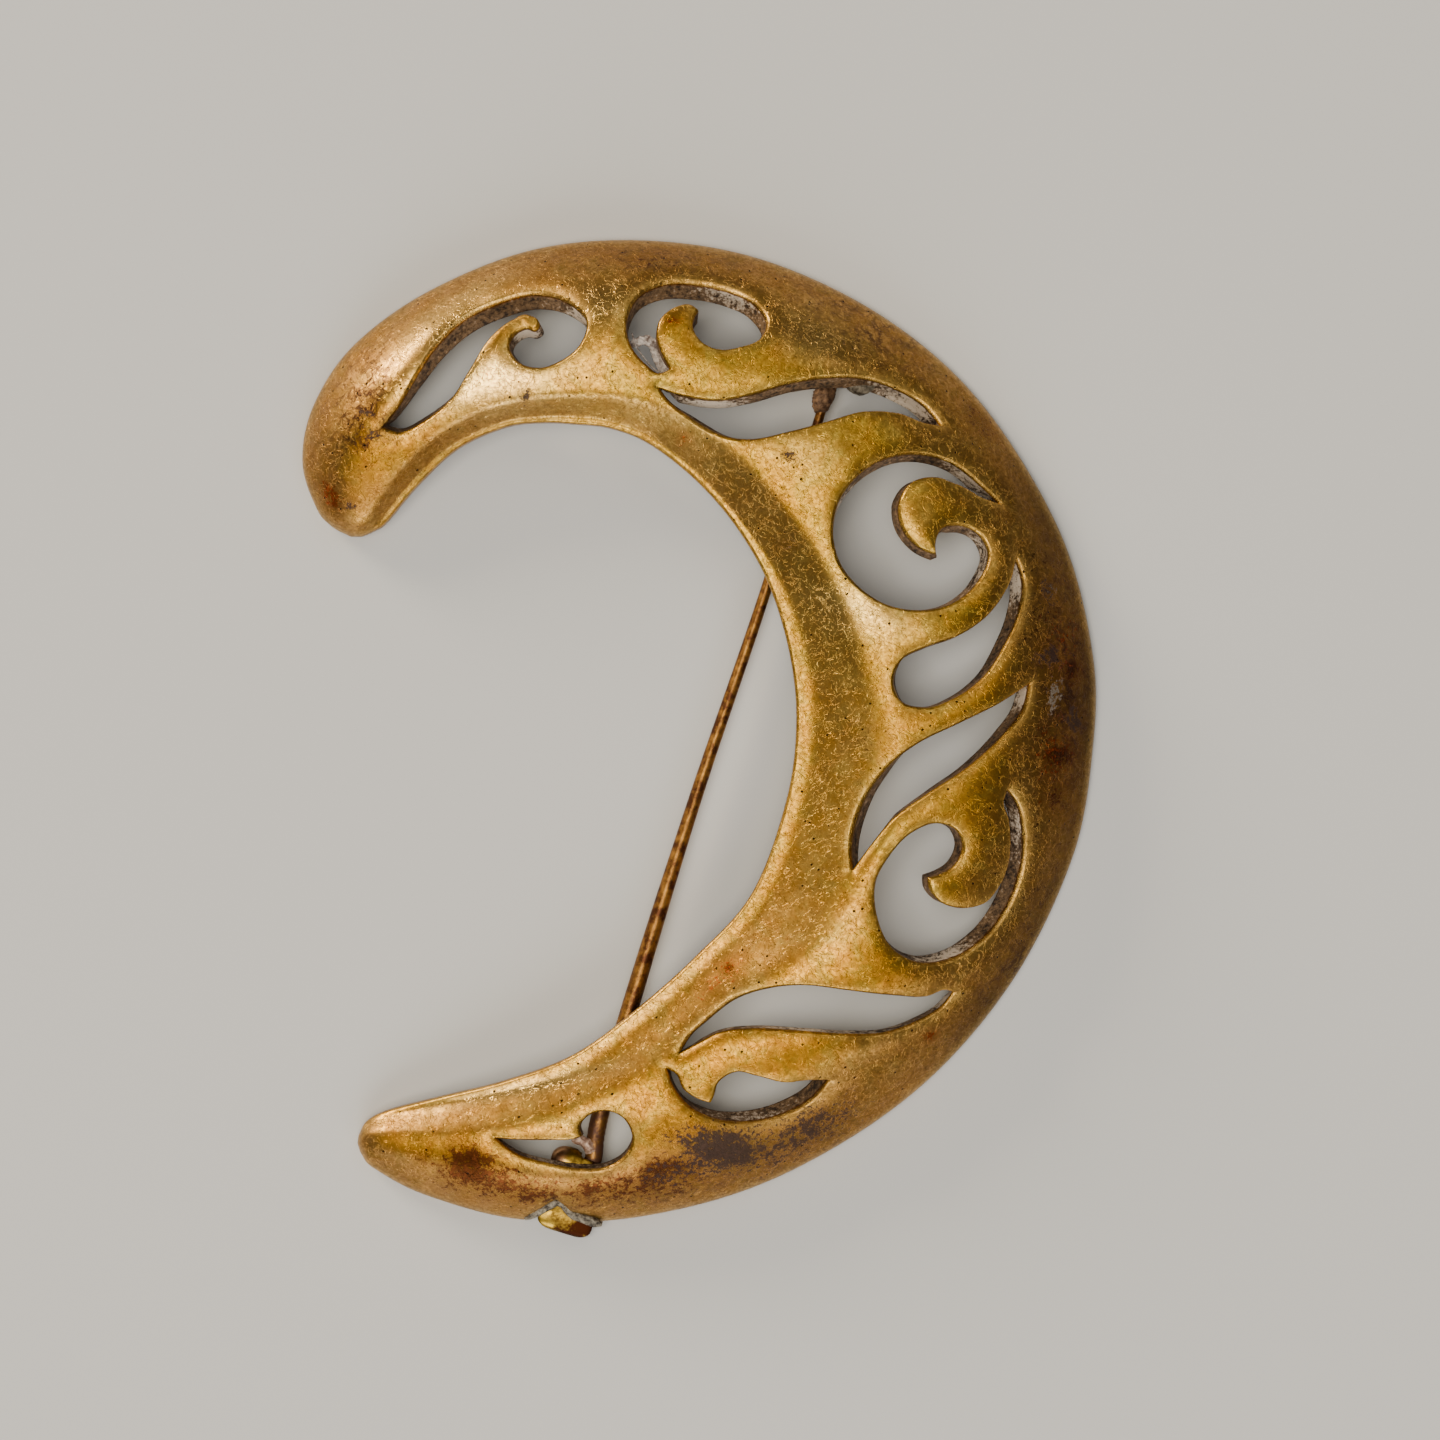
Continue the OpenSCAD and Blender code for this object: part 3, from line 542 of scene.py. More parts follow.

# Stains, worn places, painted shade and painted highlights, as the photograph shows them: middle,
# half length and half width in millimetres, turn in degrees and strength
STAINS = {
    "scuff": [
        [-22.5, 21.4, 0.7, 1.1, 70, 0.6], [-23.2, 22.8, 1.47, 0.21, -25, 0.7],
        [-23.7, 24.1, 1.12, 0.17, 5, 0.6], [-23, 26.7, 0.56, 0.7, 0, 0.4],
        [-24.5, 16.3, 0.7, 0.42, 0, 0.5], [-12.1, 23.9, 0.49, 0.56, 0, 0.8],
        [-6.6, 29.7, 0.21, 0.35, 60, 0.7], [6.4, 19.7, 0.77, 0.35, -20, 0.8],
        [6.1, 13.5, 0.98, 0.56, 0, 0.5], [24.6, 10.3, 0.7, 0.98, 0, 0.6],
        [26.5, 1.3, 0.7, 1.05, 0, 0.9], [24.6, 5.9, 1.12, 0.91, 0, 0.8],
        [1.8, -28.7, 3.8, 1.8, -8, 1], [8.3, -27.1, 4.4, 1.8, 22, 0.68],
        [-2.1, -30.6, 2.6, 0.98, 8, 0.55]],
    "streaks": [
        [-23.3, 24.2, 2.6, 4.2, -20, 1], [-22.8, 21, 1.6, 1.6, 0, 0.8], [25.6, 4, 2.2, 9, 0, 0.7],
        [23, -16, 2.2, 7, -35, 0.6], [12, 29, 6, 2.6, -30, 0.6], [-3, 33.6, 7, 1.2, 0, 0.5],
        [-4, -31.5, 9, 1.8, 5, 0.6], [8, -28.2, 5, 1.6, 25, 0.6], [-15.5, -29.6, 4, 1.8, -8, 0.6]],
    "red_brown": [
        [-16.3, -29.7, 1.81, 1.61, 0, 0.95], [-19.4, -29.5, 0.56, 0.42, 0, 0.5],
        [-12.4, -31.8, 2.79, 0.98, -12, 0.6], [-7.5, -31.3, 2.37, 0.84, 4, 0.45],
        [-4.5, -31.8, 6, 1.2, 5, 0.5], [-14.5, -30.8, 4.5, 1.6, -8, 0.5],
        [-2.2, -30.1, 3, 1.2, 8, 0.8], [2.2, -16, 0.6, 0.5, 0, 0.9], [-4, 33.8, 2.79, 0.98, 0, 0.4],
        [10.1, 29.2, 2.79, 2.09, -30, 0.15], [19.9, 22.3, 1.68, 0.84, -50, 0.55],
        [25.4, -1.2, 1.2, 0.9, 0, 0.9], [26.3, 4.8, 0.7, 0.9, 0, 0.9], [25.2, -4, 1, 1.6, 20, 0.6]],
    "rust": [
        [-26, 17.4, 1.1, 0.5, -50, 0.9], [-25.7, 16.6, 0.5, 0.6, 0, 0.8],
        [-14.7, 25.5, 0.17, 0.17, 0, 1], [-1.7, 29.2, 0.77, 0.35, -10, 0.9],
        [-1, 21, 0.63, 0.49, 45, 0.6], [2.2, -16, 1.1, 1, 0, 0.6],
        [0.8, -17.5, 1.26, 0.7, 45, 0.45], [25.2, 6.5, 1.6, 3, 0, 0.4], [24.8, -1, 1.4, 3, 0, 0.5],
        [16.3, -20.9, 0.63, 0.42, 30, 0.8], [14.3, 0.8, 0.15, 0.15, 0, 1],
        [24, -4.3, 0.15, 0.15, 0, 1], [6.3, -13.9, 0.15, 0.15, 0, 1],
        [1.5, 24.3, 0.15, 0.15, 0, 1]],
    "deposit": [
        [25, 3.1, 0.56, 1.4, -15, 0.9], [25.1, 10.4, 0.56, 0.7, 0, 0.4],
        [27, 2.7, 0.28, 1.26, 10, 0.4], [4, 20.9, 0.21, 0.14, 0, 0.6]],
    "specks": [
        [8.9, -6.4, 2.23, 2.51, 0, 0.8], [22.5, -1.6, 1.95, 1.26, 0, 0.7],
        [-5, -24.1, 2.79, 1.4, 0, 0.3], [12, 9, 2.79, 1.75, 0, 0.4],
        [8.2, -23.7, 3.14, 1.26, 10, 0.6], [-20.1, 24.7, 4.19, 4.19, 0, 0.3]],
    # painted highlights: near-white gold where the face would catch the lamps, on the upper horn,
    # along lips and beside openings
    "painted_highlight": [
        [11.6, 8.9, 3.35, 1.6, -15, 0.5], [9.1, -13.5, 3.14, 1.4, 40, 0.15],
        [7.5, 20.2, 2.65, 1.54, -10, 0.15], [-15.2, 25.1, 5.24, 1.95, 8, 1],
        [-17.8, 29.2, 4.6, 1.2, 38, 0.8], [-6.8, 30.2, 2, 1.6, 0, 0.7],
        [8.5, 28.5, 3, 1.8, -25, 0.5], [-12.4, -24.5, 6, 0.5, 13, 0.9],
        [-4.5, -19.6, 9, 0.6, 38, 0.25], [-8.2, -27.3, 4.19, 1.54, 10, 0.15],
        [15.8, 15.6, 1.12, 1.54, 0, 0.15]],
    # darker, rougher patches: tarnish, and on the east side also painted shade
    "dull_and_painted_shade": [
        [24.6, 6.9, 3.14, 9.77, 0, 0.7], [24.2, -11.2, 2.79, 8.38, -20, 0.5],
        [12.7, -1.8, 2.09, 4.19, 0, 0.5], [-24.6, 18.8, 3.14, 4.19, 0, 0.5],
        [-4, 33.6, 8.38, 1.26, 0, 0.4], [19.7, -1.5, 2.79, 4.19, 0, 0.4],
        [19.3, -8.4, 2.44, 3.49, 0, 0.4]],
    "olive": [
        [6, 23.5, 11, 4.5, -25, 0.9], [13, 11, 8, 8, 0, 0.9], [14, -6, 7, 8, 0, 0.7],
        [-7, 24, 6, 3, 0, 0.5]],
    # painted shade: dark brown over the east side's outer flank, where the brass lies in shade
    "painted_shade_east": [
        [27.8, 2, 3.4, 12, 0, 1], [25.5, -13, 2.6, 9, -28, 1], [21.5, -19, 2.4, 5.5, -48, 0.9],
        [25.8, 16, 3, 7, 28, 1]],
    "chalk": [
        [-8.2, 29.6, 1.2, 1.2, 0, 0.9], [2.6, 31.4, 2.6, 1.2, -20, 0.9],
        [1.2, 23.2, 3.4, 0.9, -8, 0.9], [14.8, 23.6, 3.2, 1.4, -30, 0.9], [9.8, 15, 1, 3.4, 0, 1],
        [19.6, 18.4, 2.8, 1.4, -38, 0.9], [19.6, 12.6, 1.2, 2.6, 0, 0.7],
        [22.4, 11.2, 1, 1.8, 0, 1], [22.8, 3.2, 1.2, 1.2, 0, 1], [22.6, -6, 0.9, 3, 0, 0.6],
        [17.4, -15.2, 3, 1.2, 0, 0.8], [8.5, -20.4, 7, 0.9, 0, 0.7], [17.4, -18.4, 1.3, 0.9, 0, 1],
        [3.6, -26.6, 4, 1, 0, 0.4], [-9.2, -29, 3.6, 1.2, 0, 0.6], [-12.1, 28.4, 1.3, 0.9, 0, 1]]}
for name, rows in STAINS.items():
    rest = np.ones(count)
    for x, y, half_x, half_y, turn, strength in rows:
        a = np.radians(turn)
        dx, dy = points[:, 0] - x, points[:, 1] - y
        u, v = dx * np.cos(a) + dy * np.sin(a), dy * np.cos(a) - dx * np.sin(a)
        rest *= 1 - strength * np.exp(-((u / half_x) ** 2 + (v / half_y) ** 2))
    masks[name] = 1 - rest
masks["streaks"] = np.maximum(masks["streaks"], 0.16)   # a few are everywhere
for name, values in masks.items():
    write_mask(crescent, name, values)


def linear(code):
    """Linear colour of an sRGB hex code."""
    c = np.array([int(code[i:i + 2], 16) for i in (1, 3, 5)]) / 255
    return tuple(np.where(c < 0.04045, c / 12.92, ((c + 0.055) / 1.055) ** 2.4)) + (1.0,)


def fill(made, inputs):
    """Gives each input of a node, by its name or place or in a row from the first one on,
    a value or the socket that it is linked to."""
    for key, value in inputs.items() if isinstance(inputs, dict) else enumerate(inputs):
        if isinstance(value, bpy.types.NodeSocket):
            made.id_data.links.new(value, made.inputs[key])
        else:
            made.inputs[key].default_value = value


def add_node(tree, kind, inputs, out=0, **settings):
    """Adds a shader node with its own settings, a ramp's stops among them, and its inputs.
    Returns the output asked for, or the node itself where out is None."""
    made = tree.nodes.new("ShaderNode" + kind)
    for key, value in settings.items():
        if key == "stops":
            for stop, (at, code) in zip(made.color_ramp.elements, value):
                stop.position, stop.color = at, linear(code)
        else:
            setattr(made, key, value)
    fill(made, inputs)
    return made if out is None else made.outputs[out]


def new_material(name):
    """A material, what adds a node to it, its shader, and the place on the piece in
    millimetres."""
    material = bpy.data.materials.new(name)
    material.use_nodes = True
    node = partial(add_node, material.node_tree)
    mm = node("Mapping", {"Vector": node("TexCoord", {}, out="Object"), "Scale": (1000, 1000, 1000)})
    return material, node, material.node_tree.nodes["Principled BSDF"], mm


# Cast brass, rubbed bright by wear, with tarnish left in the hollows: a warm metal with soft
# highlights, hairline scratches, small casting pits and brown to purple stains, and painted shade,
# painted reflection and painted highlights laid into its colour in places
brass, node, shader, mm = new_material("rubbed_cast_brass")
mask = {name: node("Attribute", {}, out="Fac", attribute_name=name) for name in masks}
# Clouds of colour 4 mm wide, patches of 1.6 mm, blotches of 1.2 mm, a mottle of 0.3 mm
cloud = node("TexNoise", {"Vector": mm, "Scale": 1 / 4.0, "Detail": 4})
patch = node("TexNoise", {"Vector": mm, "Scale": 1 / 1.6, "Detail": 5, "Roughness": 0.6,
                          "Distortion": 0.6})
blotch = node("TexNoise", {"Vector": mm, "Scale": 1 / 1.2, "Detail": 8, "Roughness": 0.75})
mottle = node("TexNoise", {"Vector": mm, "Scale": 1 / 0.3, "Detail": 4, "Roughness": 0.75})
tone = node("ValToRGB", (cloud,), stops=((0.4, "#A67418"), (0.62, "#B67E1C")))
warm = node("MapRange", (patch, 0.5, 0.68, 0, 0.5))
colour = node("Mix", {0: warm, 6: tone, 7: linear("#A6661A")}, out=2, data_type="RGBA")
olive = node("MapRange", (patch, 0.5, 0.34, 0, 0.4))
colour = node("Mix", {0: olive, 6: colour, 7: linear("#8E8030")}, out=2, data_type="RGBA")
# Squiggly hairlines, 0.1 mm wide as drawn, to show in the picture: contour lines of
# four stretched and bent noises, broken off by four others
sway = node("TexNoise", {"Vector": mm, "Scale": 1 / 0.9, "Detail": 2}, out=None)
shift = node("VectorMath", (sway.outputs["Color"], (1.2, 1.2, 1.2)), operation="MULTIPLY")
bent = node("VectorMath", (mm, shift), operation="ADD")


def contours(turn, start, stretch, **noise):
    """How far a stretched and bent noise is from its middle, near 0 along wriggly lines,
    and the place that it is read at."""
    line = node("Mapping", {"Vector": bent, "Location": start, "Scale": stretch,
                            "Rotation": (0, 0, np.radians(turn))}, vector_type="TEXTURE")
    field = node("TexNoise", {"Vector": line, "Scale": 1, **noise})
    off = node("Math", (field, 0.5), operation="SUBTRACT")
    return node("Math", (off,), operation="ABSOLUTE"), line


scratched = 0.0
for turn in (12, 58, 101, 149):
    off, line = contours(turn, (turn, 0, 0), (2.4, 0.5, 1), Detail=1)
    hair = node("MapRange", (off, 0.004, 0.017, 1, 0))
    gap = node("TexNoise", {"Vector": line, "Scale": 1.7, "Detail": 1})
    gap = node("MapRange", (gap, 0.46, 0.56, 0, 1))
    hair = node("Math", (hair, gap), operation="MULTIPLY")
    scratched = node("Math", (scratched, hair), operation="MAXIMUM")
shade = node("MapRange", (blotch, 0.36, 0.62, 0.72, 1.1))
fleck = node("MapRange", (mottle, 0.3, 0.7, 0.6, 1.36))
shade = node("Math", (shade, fleck), operation="MULTIPLY")
shade = node("Math", (scratched, 0.22, shade), operation="MULTIPLY_ADD")
# Thin tarnish, worn places, painted shade and painted highlights: mask, share at full strength,
# colour, share of blotches. The slope tint is painted reflection; the valley, outer flank and east
# side tints, and the dull patches in part, are painted shade; the bright spots are painted
# highlights.
for name, share, code, broken in (
        ("slope", 0.6, "#B48850", 0.3), ("olive", 0.6, "#968230", 0.4),
        ("painted_valley_shade", 0.38, "#86703A", 0.8), ("flank", 0.4, "#8A6644", 0.8),
        ("dull_and_painted_shade", 0.5, "#6E5234", 0.9), ("painted_shade_east", 0.92, "#382614", 0.3),
        ("red_brown", 0.9, "#7A4A1C", 0.3), ("scuff", 0.7, "#7A4A22", 0.3),
        ("rust", 0.7, "#98561C", 0.4), ("painted_highlight", 0.8, "#FFD27C", 0.2),
        ("edge", 0.35, "#DCB45C", 0.3)):
    uneven = node("MapRange", (blotch, 0.38, 0.6, share * (1 - broken), share))
    amount = node("Math", (mask[name], uneven), operation="MULTIPLY")
    colour = node("Mix", {0: amount, 6: colour, 7: linear(code)}, out=2, data_type="RGBA")
colour = node("Mix", {0: 1.0, 6: colour, 7: shade}, out=2, data_type="RGBA", blend_type="MULTIPLY")
# Purple-brown streaks of tarnish, 0.3 mm wide and some 2 mm long
for turn in (40, 128):
    off, _ = contours(turn, (0, turn, 0), (3.6, 1.0, 1), Detail=3, Roughness=0.6)
    hair = node("MapRange", (off, 0.016, 0.05, 0.9, 0))
    thin = node("MapRange", (blotch, 0.39, 0.53, 0, 1))
    hair = node("Math", (hair, thin), operation="MULTIPLY")
    hair = node("Math", (hair, mask["streaks"]), operation="MULTIPLY")
    colour = node("Mix", {0: hair, 6: colour, 7: linear("#38201C")}, out=2, data_type="RGBA")
# Stains: mask, how much of it joins the noise that breaks the stain up into crumbs, with
# metal between them, and colour
crumb = node("Math", (mottle, 0.5), operation="MULTIPLY")
crumb = node("Math", (blotch, 0.5, crumb), operation="MULTIPLY_ADD")
grain = node("MapRange", (mottle, 0.35, 0.65, 0.5, 1.9))
covered = 0.0
# the dull patches' dark crumbs are tarnish, and on the east side also painted shade
for name, gain, code in (("dull_and_painted_shade", 0.14, "#3A240E"), ("red_brown", 0.27, "#3E1E0C"),
                         ("rust", 0.22, "#74320C"), ("scuff", 0.27, "#28160C"),
                         ("deposit", 0.22, "#665C50")):
    level = node("Math", (mask[name], gain, crumb), operation="MULTIPLY_ADD")
    crumbs = node("MapRange", (level, 0.62, 0.69, 0, 0.95))
    within = node("Math", (mask[name], 4.0), operation="MULTIPLY", use_clamp=True)
    spot = node("Math", (crumbs, within), operation="MULTIPLY")
    stain = node("Mix", {0: 1.0, 6: linear(code), 7: grain}, out=2, data_type="RGBA",
                 blend_type="MULTIPLY")
    colour = node("Mix", {0: spot, 6: colour, 7: stain}, out=2, data_type="RGBA")
    if name in ("scuff", "deposit"):
        dulled = node("Math", (spot, 0.6), operation="MULTIPLY")
        covered = node("Math", (covered, dulled), operation="MAXIMUM")
# Casting pits, about 0.15 mm wide, thick where the mask for specks asks
cells = node("TexVoronoi", {"Vector": mm, "Scale": 1 / 0.6}, out=None)
chosen = node("SeparateColor", {"Color": cells.outputs["Color"]})
often = node("MapRange", (mask["specks"], 0, 1, 0.2, 0.9))
is_pit = node("Math", (chosen, often), operation="LESS_THAN")
near = node("MapRange", (cells.outputs["Distance"], 0.1, 0.17, 1, 0))
pit = node("Math", (is_pit, near), operation="MULTIPLY")
colour = node("Mix", {0: pit, 6: colour, 7: linear("#1E120A")}, out=2, data_type="RGBA")
# Brown dirt and grey-white dried polish on the walls of the openings
dirty = node("MapRange", (crumb, 0.4, 0.6, 0, 1))
dirt = node("Mix", {0: dirty, 6: linear("#26180A"), 7: linear("#806242")}, out=2, data_type="RGBA")
pale = node("Math", (mask["chalk"], 0.26, crumb), operation="MULTIPLY_ADD")
pale = node("MapRange", (pale, 0.6, 0.72, 0, 1))
dirt = node("Mix", {0: pale, 6: dirt, 7: linear("#C2B09A")}, out=2, data_type="RGBA")
level = node("Math", (blotch, 0.5, mask["wall"]), operation="MULTIPLY_ADD")
# a thin red-brown line of dirt runs along the top of the walls
line = node("MapRange", (level, 0.74, 0.84, 0, 0.8))
colour = node("Mix", {0: line, 6: colour, 7: linear("#5E3214")}, out=2, data_type="RGBA")
on_wall = node("MapRange", (level, 0.88, 1.05, 0, 1))
colour = node("Mix", {0: on_wall, 6: colour, 7: dirt}, out=2, data_type="RGBA")
hidden = node("Math", (on_wall, covered), operation="MAXIMUM")
metal = node("MapRange", (hidden, 0, 1, 1.0, 0.2))
height = node("Math", (scratched, -0.45), operation="MULTIPLY")
height = node("Math", (mottle, 0.3, height), operation="MULTIPLY_ADD")
height = node("Math", (pit, -1.5, height), operation="MULTIPLY_ADD")
height = node("Math", (hidden, blotch, height), operation="MULTIPLY_ADD")
relief = node("Bump", {"Height": height, "Strength": 0.8, "Distance": 0.00004})
# rubbing brings out the gloss, and tarnish and dirt dull it; the painted highlights are glossier,
# the dull patches and the outer flank rougher
gloss = node("MapRange", (mottle, 0.3, 0.7, 0.46, 0.32))
for name, change in (("dull_and_painted_shade", 0.08), ("painted_highlight", -0.14), ("flank", 0.04)):
    gloss = node("Math", (mask[name], change, gloss), operation="MULTIPLY_ADD")
gloss = node("Math", (hidden, 0.35, gloss), operation="MULTIPLY_ADD")
fill(shader, {"Base Color": colour, "Metallic": metal, "Normal": relief, "Roughness": gloss})
crescent.data.materials.append(brass)
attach(crescent, "brooch")
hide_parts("crescent")

# Hinge strip
# One strip of sheet brass: its tail shows in the notch of the lower rim, where it is
# rolled down, and its inner end is rolled to the knuckle that the pin turns in.
HINGE_AT = np.array([-7.6, -30.3])
HINGE_Z, PIN_TURN = 1.8, np.radians(-17)
KNUCKLE_R, SHEET = 0.75, 0.4        # middle radius of the roll, thickness of the sheet
PLATE_MID, PLATE_HALF = -0.62, 1.97  # middle and half width of the plate
KNUCKLE_MID, KNUCKLE_HALF = -1.65, 0.8
ALONG = np.array([1.0, 0, 0])       # the hinge's axis


def in_hinge_frame(p):
    """Points given along the hinge's axis, along the pin and up, in the brooch's frame."""
    c, s = np.cos(PIN_TURN), np.sin(PIN_TURN)
    return np.column_stack([HINGE_AT[0] + c * p[:, 0] - s * p[:, 1],
                            HINGE_AT[1] + s * p[:, 0] + c * p[:, 1], p[:, 2]])


def smooth_path(rows, steps):
    """Even cubic through the rows of a table, cut into steps between two rows."""
    rows = np.array(rows, float)
    last = len(rows) - 1
    return through(rows, np.linspace(0, last, last * steps + 1))


def carried(path, side, half_w, half_t, power, sides):
    """A rounded section carried along a path, |u / half_w|^power + |v / half_t|^power = 1,
    with u along side and v square to it, and closed at each end. Returns points and
    triangles."""
    side = unit(np.broadcast_to(side, path.shape))
    run = np.gradient(path, axis=0)
    up = np.cross(unit(run - (run * side).sum(1)[:, None] * side), side)
    a = np.linspace(0, 2 * np.pi, sides, endpoint=False)
    u = np.sign(np.cos(a)) * np.abs(np.cos(a)) ** (2 / power)
    v = np.sign(np.sin(a)) * np.abs(np.sin(a)) ** (2 / power)
    rings = (path[:, None] + side[:, None] * (half_w[:, None] * u)[..., None]
             + up[:, None] * (half_t[:, None] * v)[..., None])
    k, j = np.meshgrid(np.arange(len(path) - 1), np.arange(sides), indexing="ij")
    a, b = (k * sides + j).ravel(), (k * sides + (j + 1) % sides).ravel()
    i, end = np.arange(sides // 2 - 1), (len(path) - 1) * sides
    j = i + 1
    cap = np.concatenate([np.column_stack([i, i + 1, sides - i - 1]),
                          np.column_stack([j, sides - j - 1, sides - j])])
    tube = np.concatenate([np.column_stack([a, b, b + sides]),
                           np.column_stack([a, b + sides, a + sides])])
    return rings.reshape(-1, 3), np.concatenate([tube, cap[:, ::-1], cap + end])


def lumps(p, size, depth):
    """Uneven waves over a small part, at a size and a depth in millimetres."""
    x, y, z = (p / size * 2 * np.pi).T
    return depth * (np.sin(x + 1.3 * y) * np.sin(0.9 * y - 0.7 * z + 1)
                    + 0.5 * np.sin(2.1 * x - 1.7 * z + 2) * np.sin(2.3 * y + 0.5))


# along the pin and up: the rolled-down tail and the plate, then the roll
tail = smooth_path([[-4.82, 0.45], [-4.84, 0.70], [-4.76, 0.92], [-4.50, 1.04], [-4.0, 1.07],
                    [-3.2, 1.06], [-2.2, 1.05], [-1.2, 1.05], [-0.6, 1.05]], 6)
around = np.radians(np.linspace(-90, 192, 48))
roll = np.column_stack([KNUCKLE_R * np.cos(around), HINGE_Z + KNUCKLE_R * np.sin(around)])
line = np.concatenate([tail, roll])
# the plate narrows to the roll in an S, and the corners of its tail are round
narrow = np.clip((line[:, 0] + 1.7) / 0.7, 0, 1)
narrow[len(tail):] = 1
narrow = narrow * narrow * (3 - 2 * narrow)
middle = PLATE_MID + (KNUCKLE_MID - PLATE_MID) * narrow
half = PLATE_HALF + (KNUCKLE_HALF - PLATE_HALF) * narrow
half *= (1 - np.clip((-4.1 - line[:, 0]) / 0.8, 0, 1) ** 3.5) ** (1 / 3.5)
# the sheet's ends are rubbed round
thick = np.full(len(line), SHEET / 2)
ROUNDED = np.array([0.55, 0.8, 0.94])
half[:3] *= 0.97
half[-3:] *= 0.99
thick[:3] *= ROUNDED
thick[-3:] *= ROUNDED[::-1]
strip, strip_faces = carried(np.column_stack([middle, line]), ALONG, half, thick, 5, 40)
# the roll bulges in its middle, and the tail has a hammered swelling
in_roll = np.clip((strip[:, 1] + 1.1) / 0.4, 0, 1)
bulge = 0.06 * in_roll * (1 - np.clip((strip[:, 0] - KNUCKLE_MID) / KNUCKLE_HALF, -1, 1) ** 2)
strip[:, 1] *= 1 + bulge
strip[:, 2] = HINGE_Z + (strip[:, 2] - HINGE_Z) * (1 + bulge)
hammered = 0.13 * np.exp(-((strip[:, 0] + 1.5) / 0.8) ** 2 - ((strip[:, 1] + 3.9) / 0.6) ** 2)
strip[:, 2] += hammered * (1 - in_roll)
hinge_strip = solid("hinge_strip", in_hinge_frame(strip), strip_faces)

# a thinner hood, rolled on over the knuckle and the pin's bend: its radius about the
# hinge's axis falls off at both ends, and its edge stays above the pin
HOOD_R, HOOD_MID, HOOD_HALF, HOOD_T = 1.0, -1.21, 1.67, 0.2
around = np.radians(np.linspace(8, 192, 40))
hood_path = np.column_stack([np.full(len(around), HOOD_MID), HOOD_R * np.cos(around),
                             HINGE_Z + HOOD_R * np.sin(around)])
half_t = np.full(len(around), HOOD_T / 2)
half_t[[0, -1]] *= 0.5
hood, hood_faces = carried(hood_path, ALONG, np.full(len(around), HOOD_HALF), half_t, 4, 72)
radius = np.hypot(hood[:, 1], hood[:, 2] - HINGE_Z)
angle = np.arctan2(hood[:, 2] - HINGE_Z, hood[:, 1])
angle = np.where(angle < -np.pi / 2, angle + 2 * np.pi, angle)
open_at = np.radians(8 + 46 * np.clip((hood[:, 0] + 1.15) / 0.4, 0, 1))
angle = around[-1] - (around[-1] - angle) * (around[-1] - open_at) / (around[-1] - around[0])
radius *= (1 - 0.9 * np.clip((-1.7 - hood[:, 0]) / 1.2, 0, 1) ** 2.4) ** 0.5
radius *= 1 - 0.08 * np.clip((hood[:, 0] + 0.8) / 1.2, 0, 1)
hood[:, 1], hood[:, 2] = radius * np.cos(angle), HINGE_Z + radius * np.sin(angle)
hinge_hood = solid("hinge_hood", in_hinge_frame(hood), hood_faces)
# its right end is rusty, and its left end has a pale bloom on it
write_mask(hinge_hood, "rusted", 0.9 * np.clip((hood[:, 0] + 0.45) / 0.6, 0, 1))
write_mask(hinge_hood, "limed", 0.8 * np.clip((-1.7 - hood[:, 0]) / 0.5, 0, 1))
rusted_tail = np.clip((strip[:, 0] + 1.5) / 1.7, 0, 1) * (strip[:, 1] < -1.5)
write_mask(hinge_strip, "rusted", rusted_tail)

# Sheet brass, rolled and worn smooth: olive gold with brown and red tarnish
sheet_brass, node, shader, mm = new_material("worn_sheet_brass")
blotch = node("TexNoise", {"Vector": mm, "Scale": 1 / 0.7, "Detail": 7, "Roughness": 0.7})
rusted = node("Attribute", {}, out="Fac", attribute_name="rusted")
level = node("Math", (rusted, -0.26, blotch), operation="MULTIPLY_ADD")
tone = node("ValToRGB", (level,), stops=((0.28, "#381A0C"), (0.58, "#A0802C")))
limed = node("Attribute", {}, out="Fac", attribute_name="limed")
colour = node("Mix", {0: limed, 6: tone, 7: linear("#A87E62")}, out=2, data_type="RGBA")
gloss = node("MapRange", (level, 0.3, 0.55, 0.55, 0.3))
fill(shader, {"Base Color": colour, "Metallic": 1.0, "Roughness": gloss})
for piece in (hinge_strip, hinge_hood):
    piece.data.materials.append(sheet_brass)
    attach(piece, "brooch")
    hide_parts("crescent")

# Solder at the notch
# Grey soft solder, run between the notch's edge and the hinge plate, left rough.
beads = []
for rows in ([[-12.3, -33.9, 1.0, 0.2], [-11.6, -33.5, 1.35, 0.4], [-10.8, -33.0, 1.6, 0.45],
              [-10.0, -32.55, 1.8, 0.5], [-9.4, -32.8, 1.7, 0.42]],
             [[-9.6, -32.8, 1.6, 0.3], [-8.9, -33.45, 1.55, 0.45], [-8.2, -33.75, 1.5, 0.48],
              [-7.4, -34.1, 1.35, 0.45], [-6.8, -34.3, 1.1, 0.2]]):
    path = smooth_path(rows, 8)
    beads.append(carried(path[:, :3], UP, path[:, 3] * 0.9, path[:, 3] * 0.85, 2, 20))
points = np.concatenate([b[0] for b in beads])
faces = np.concatenate([beads[0][1], beads[1][1] + len(beads[0][0])])
points += lumps(points, 1.1, 0.05)[:, None] * np.array([0.5, 0.5, 1])
hinge_solder = solid("hinge_solder", points, faces)


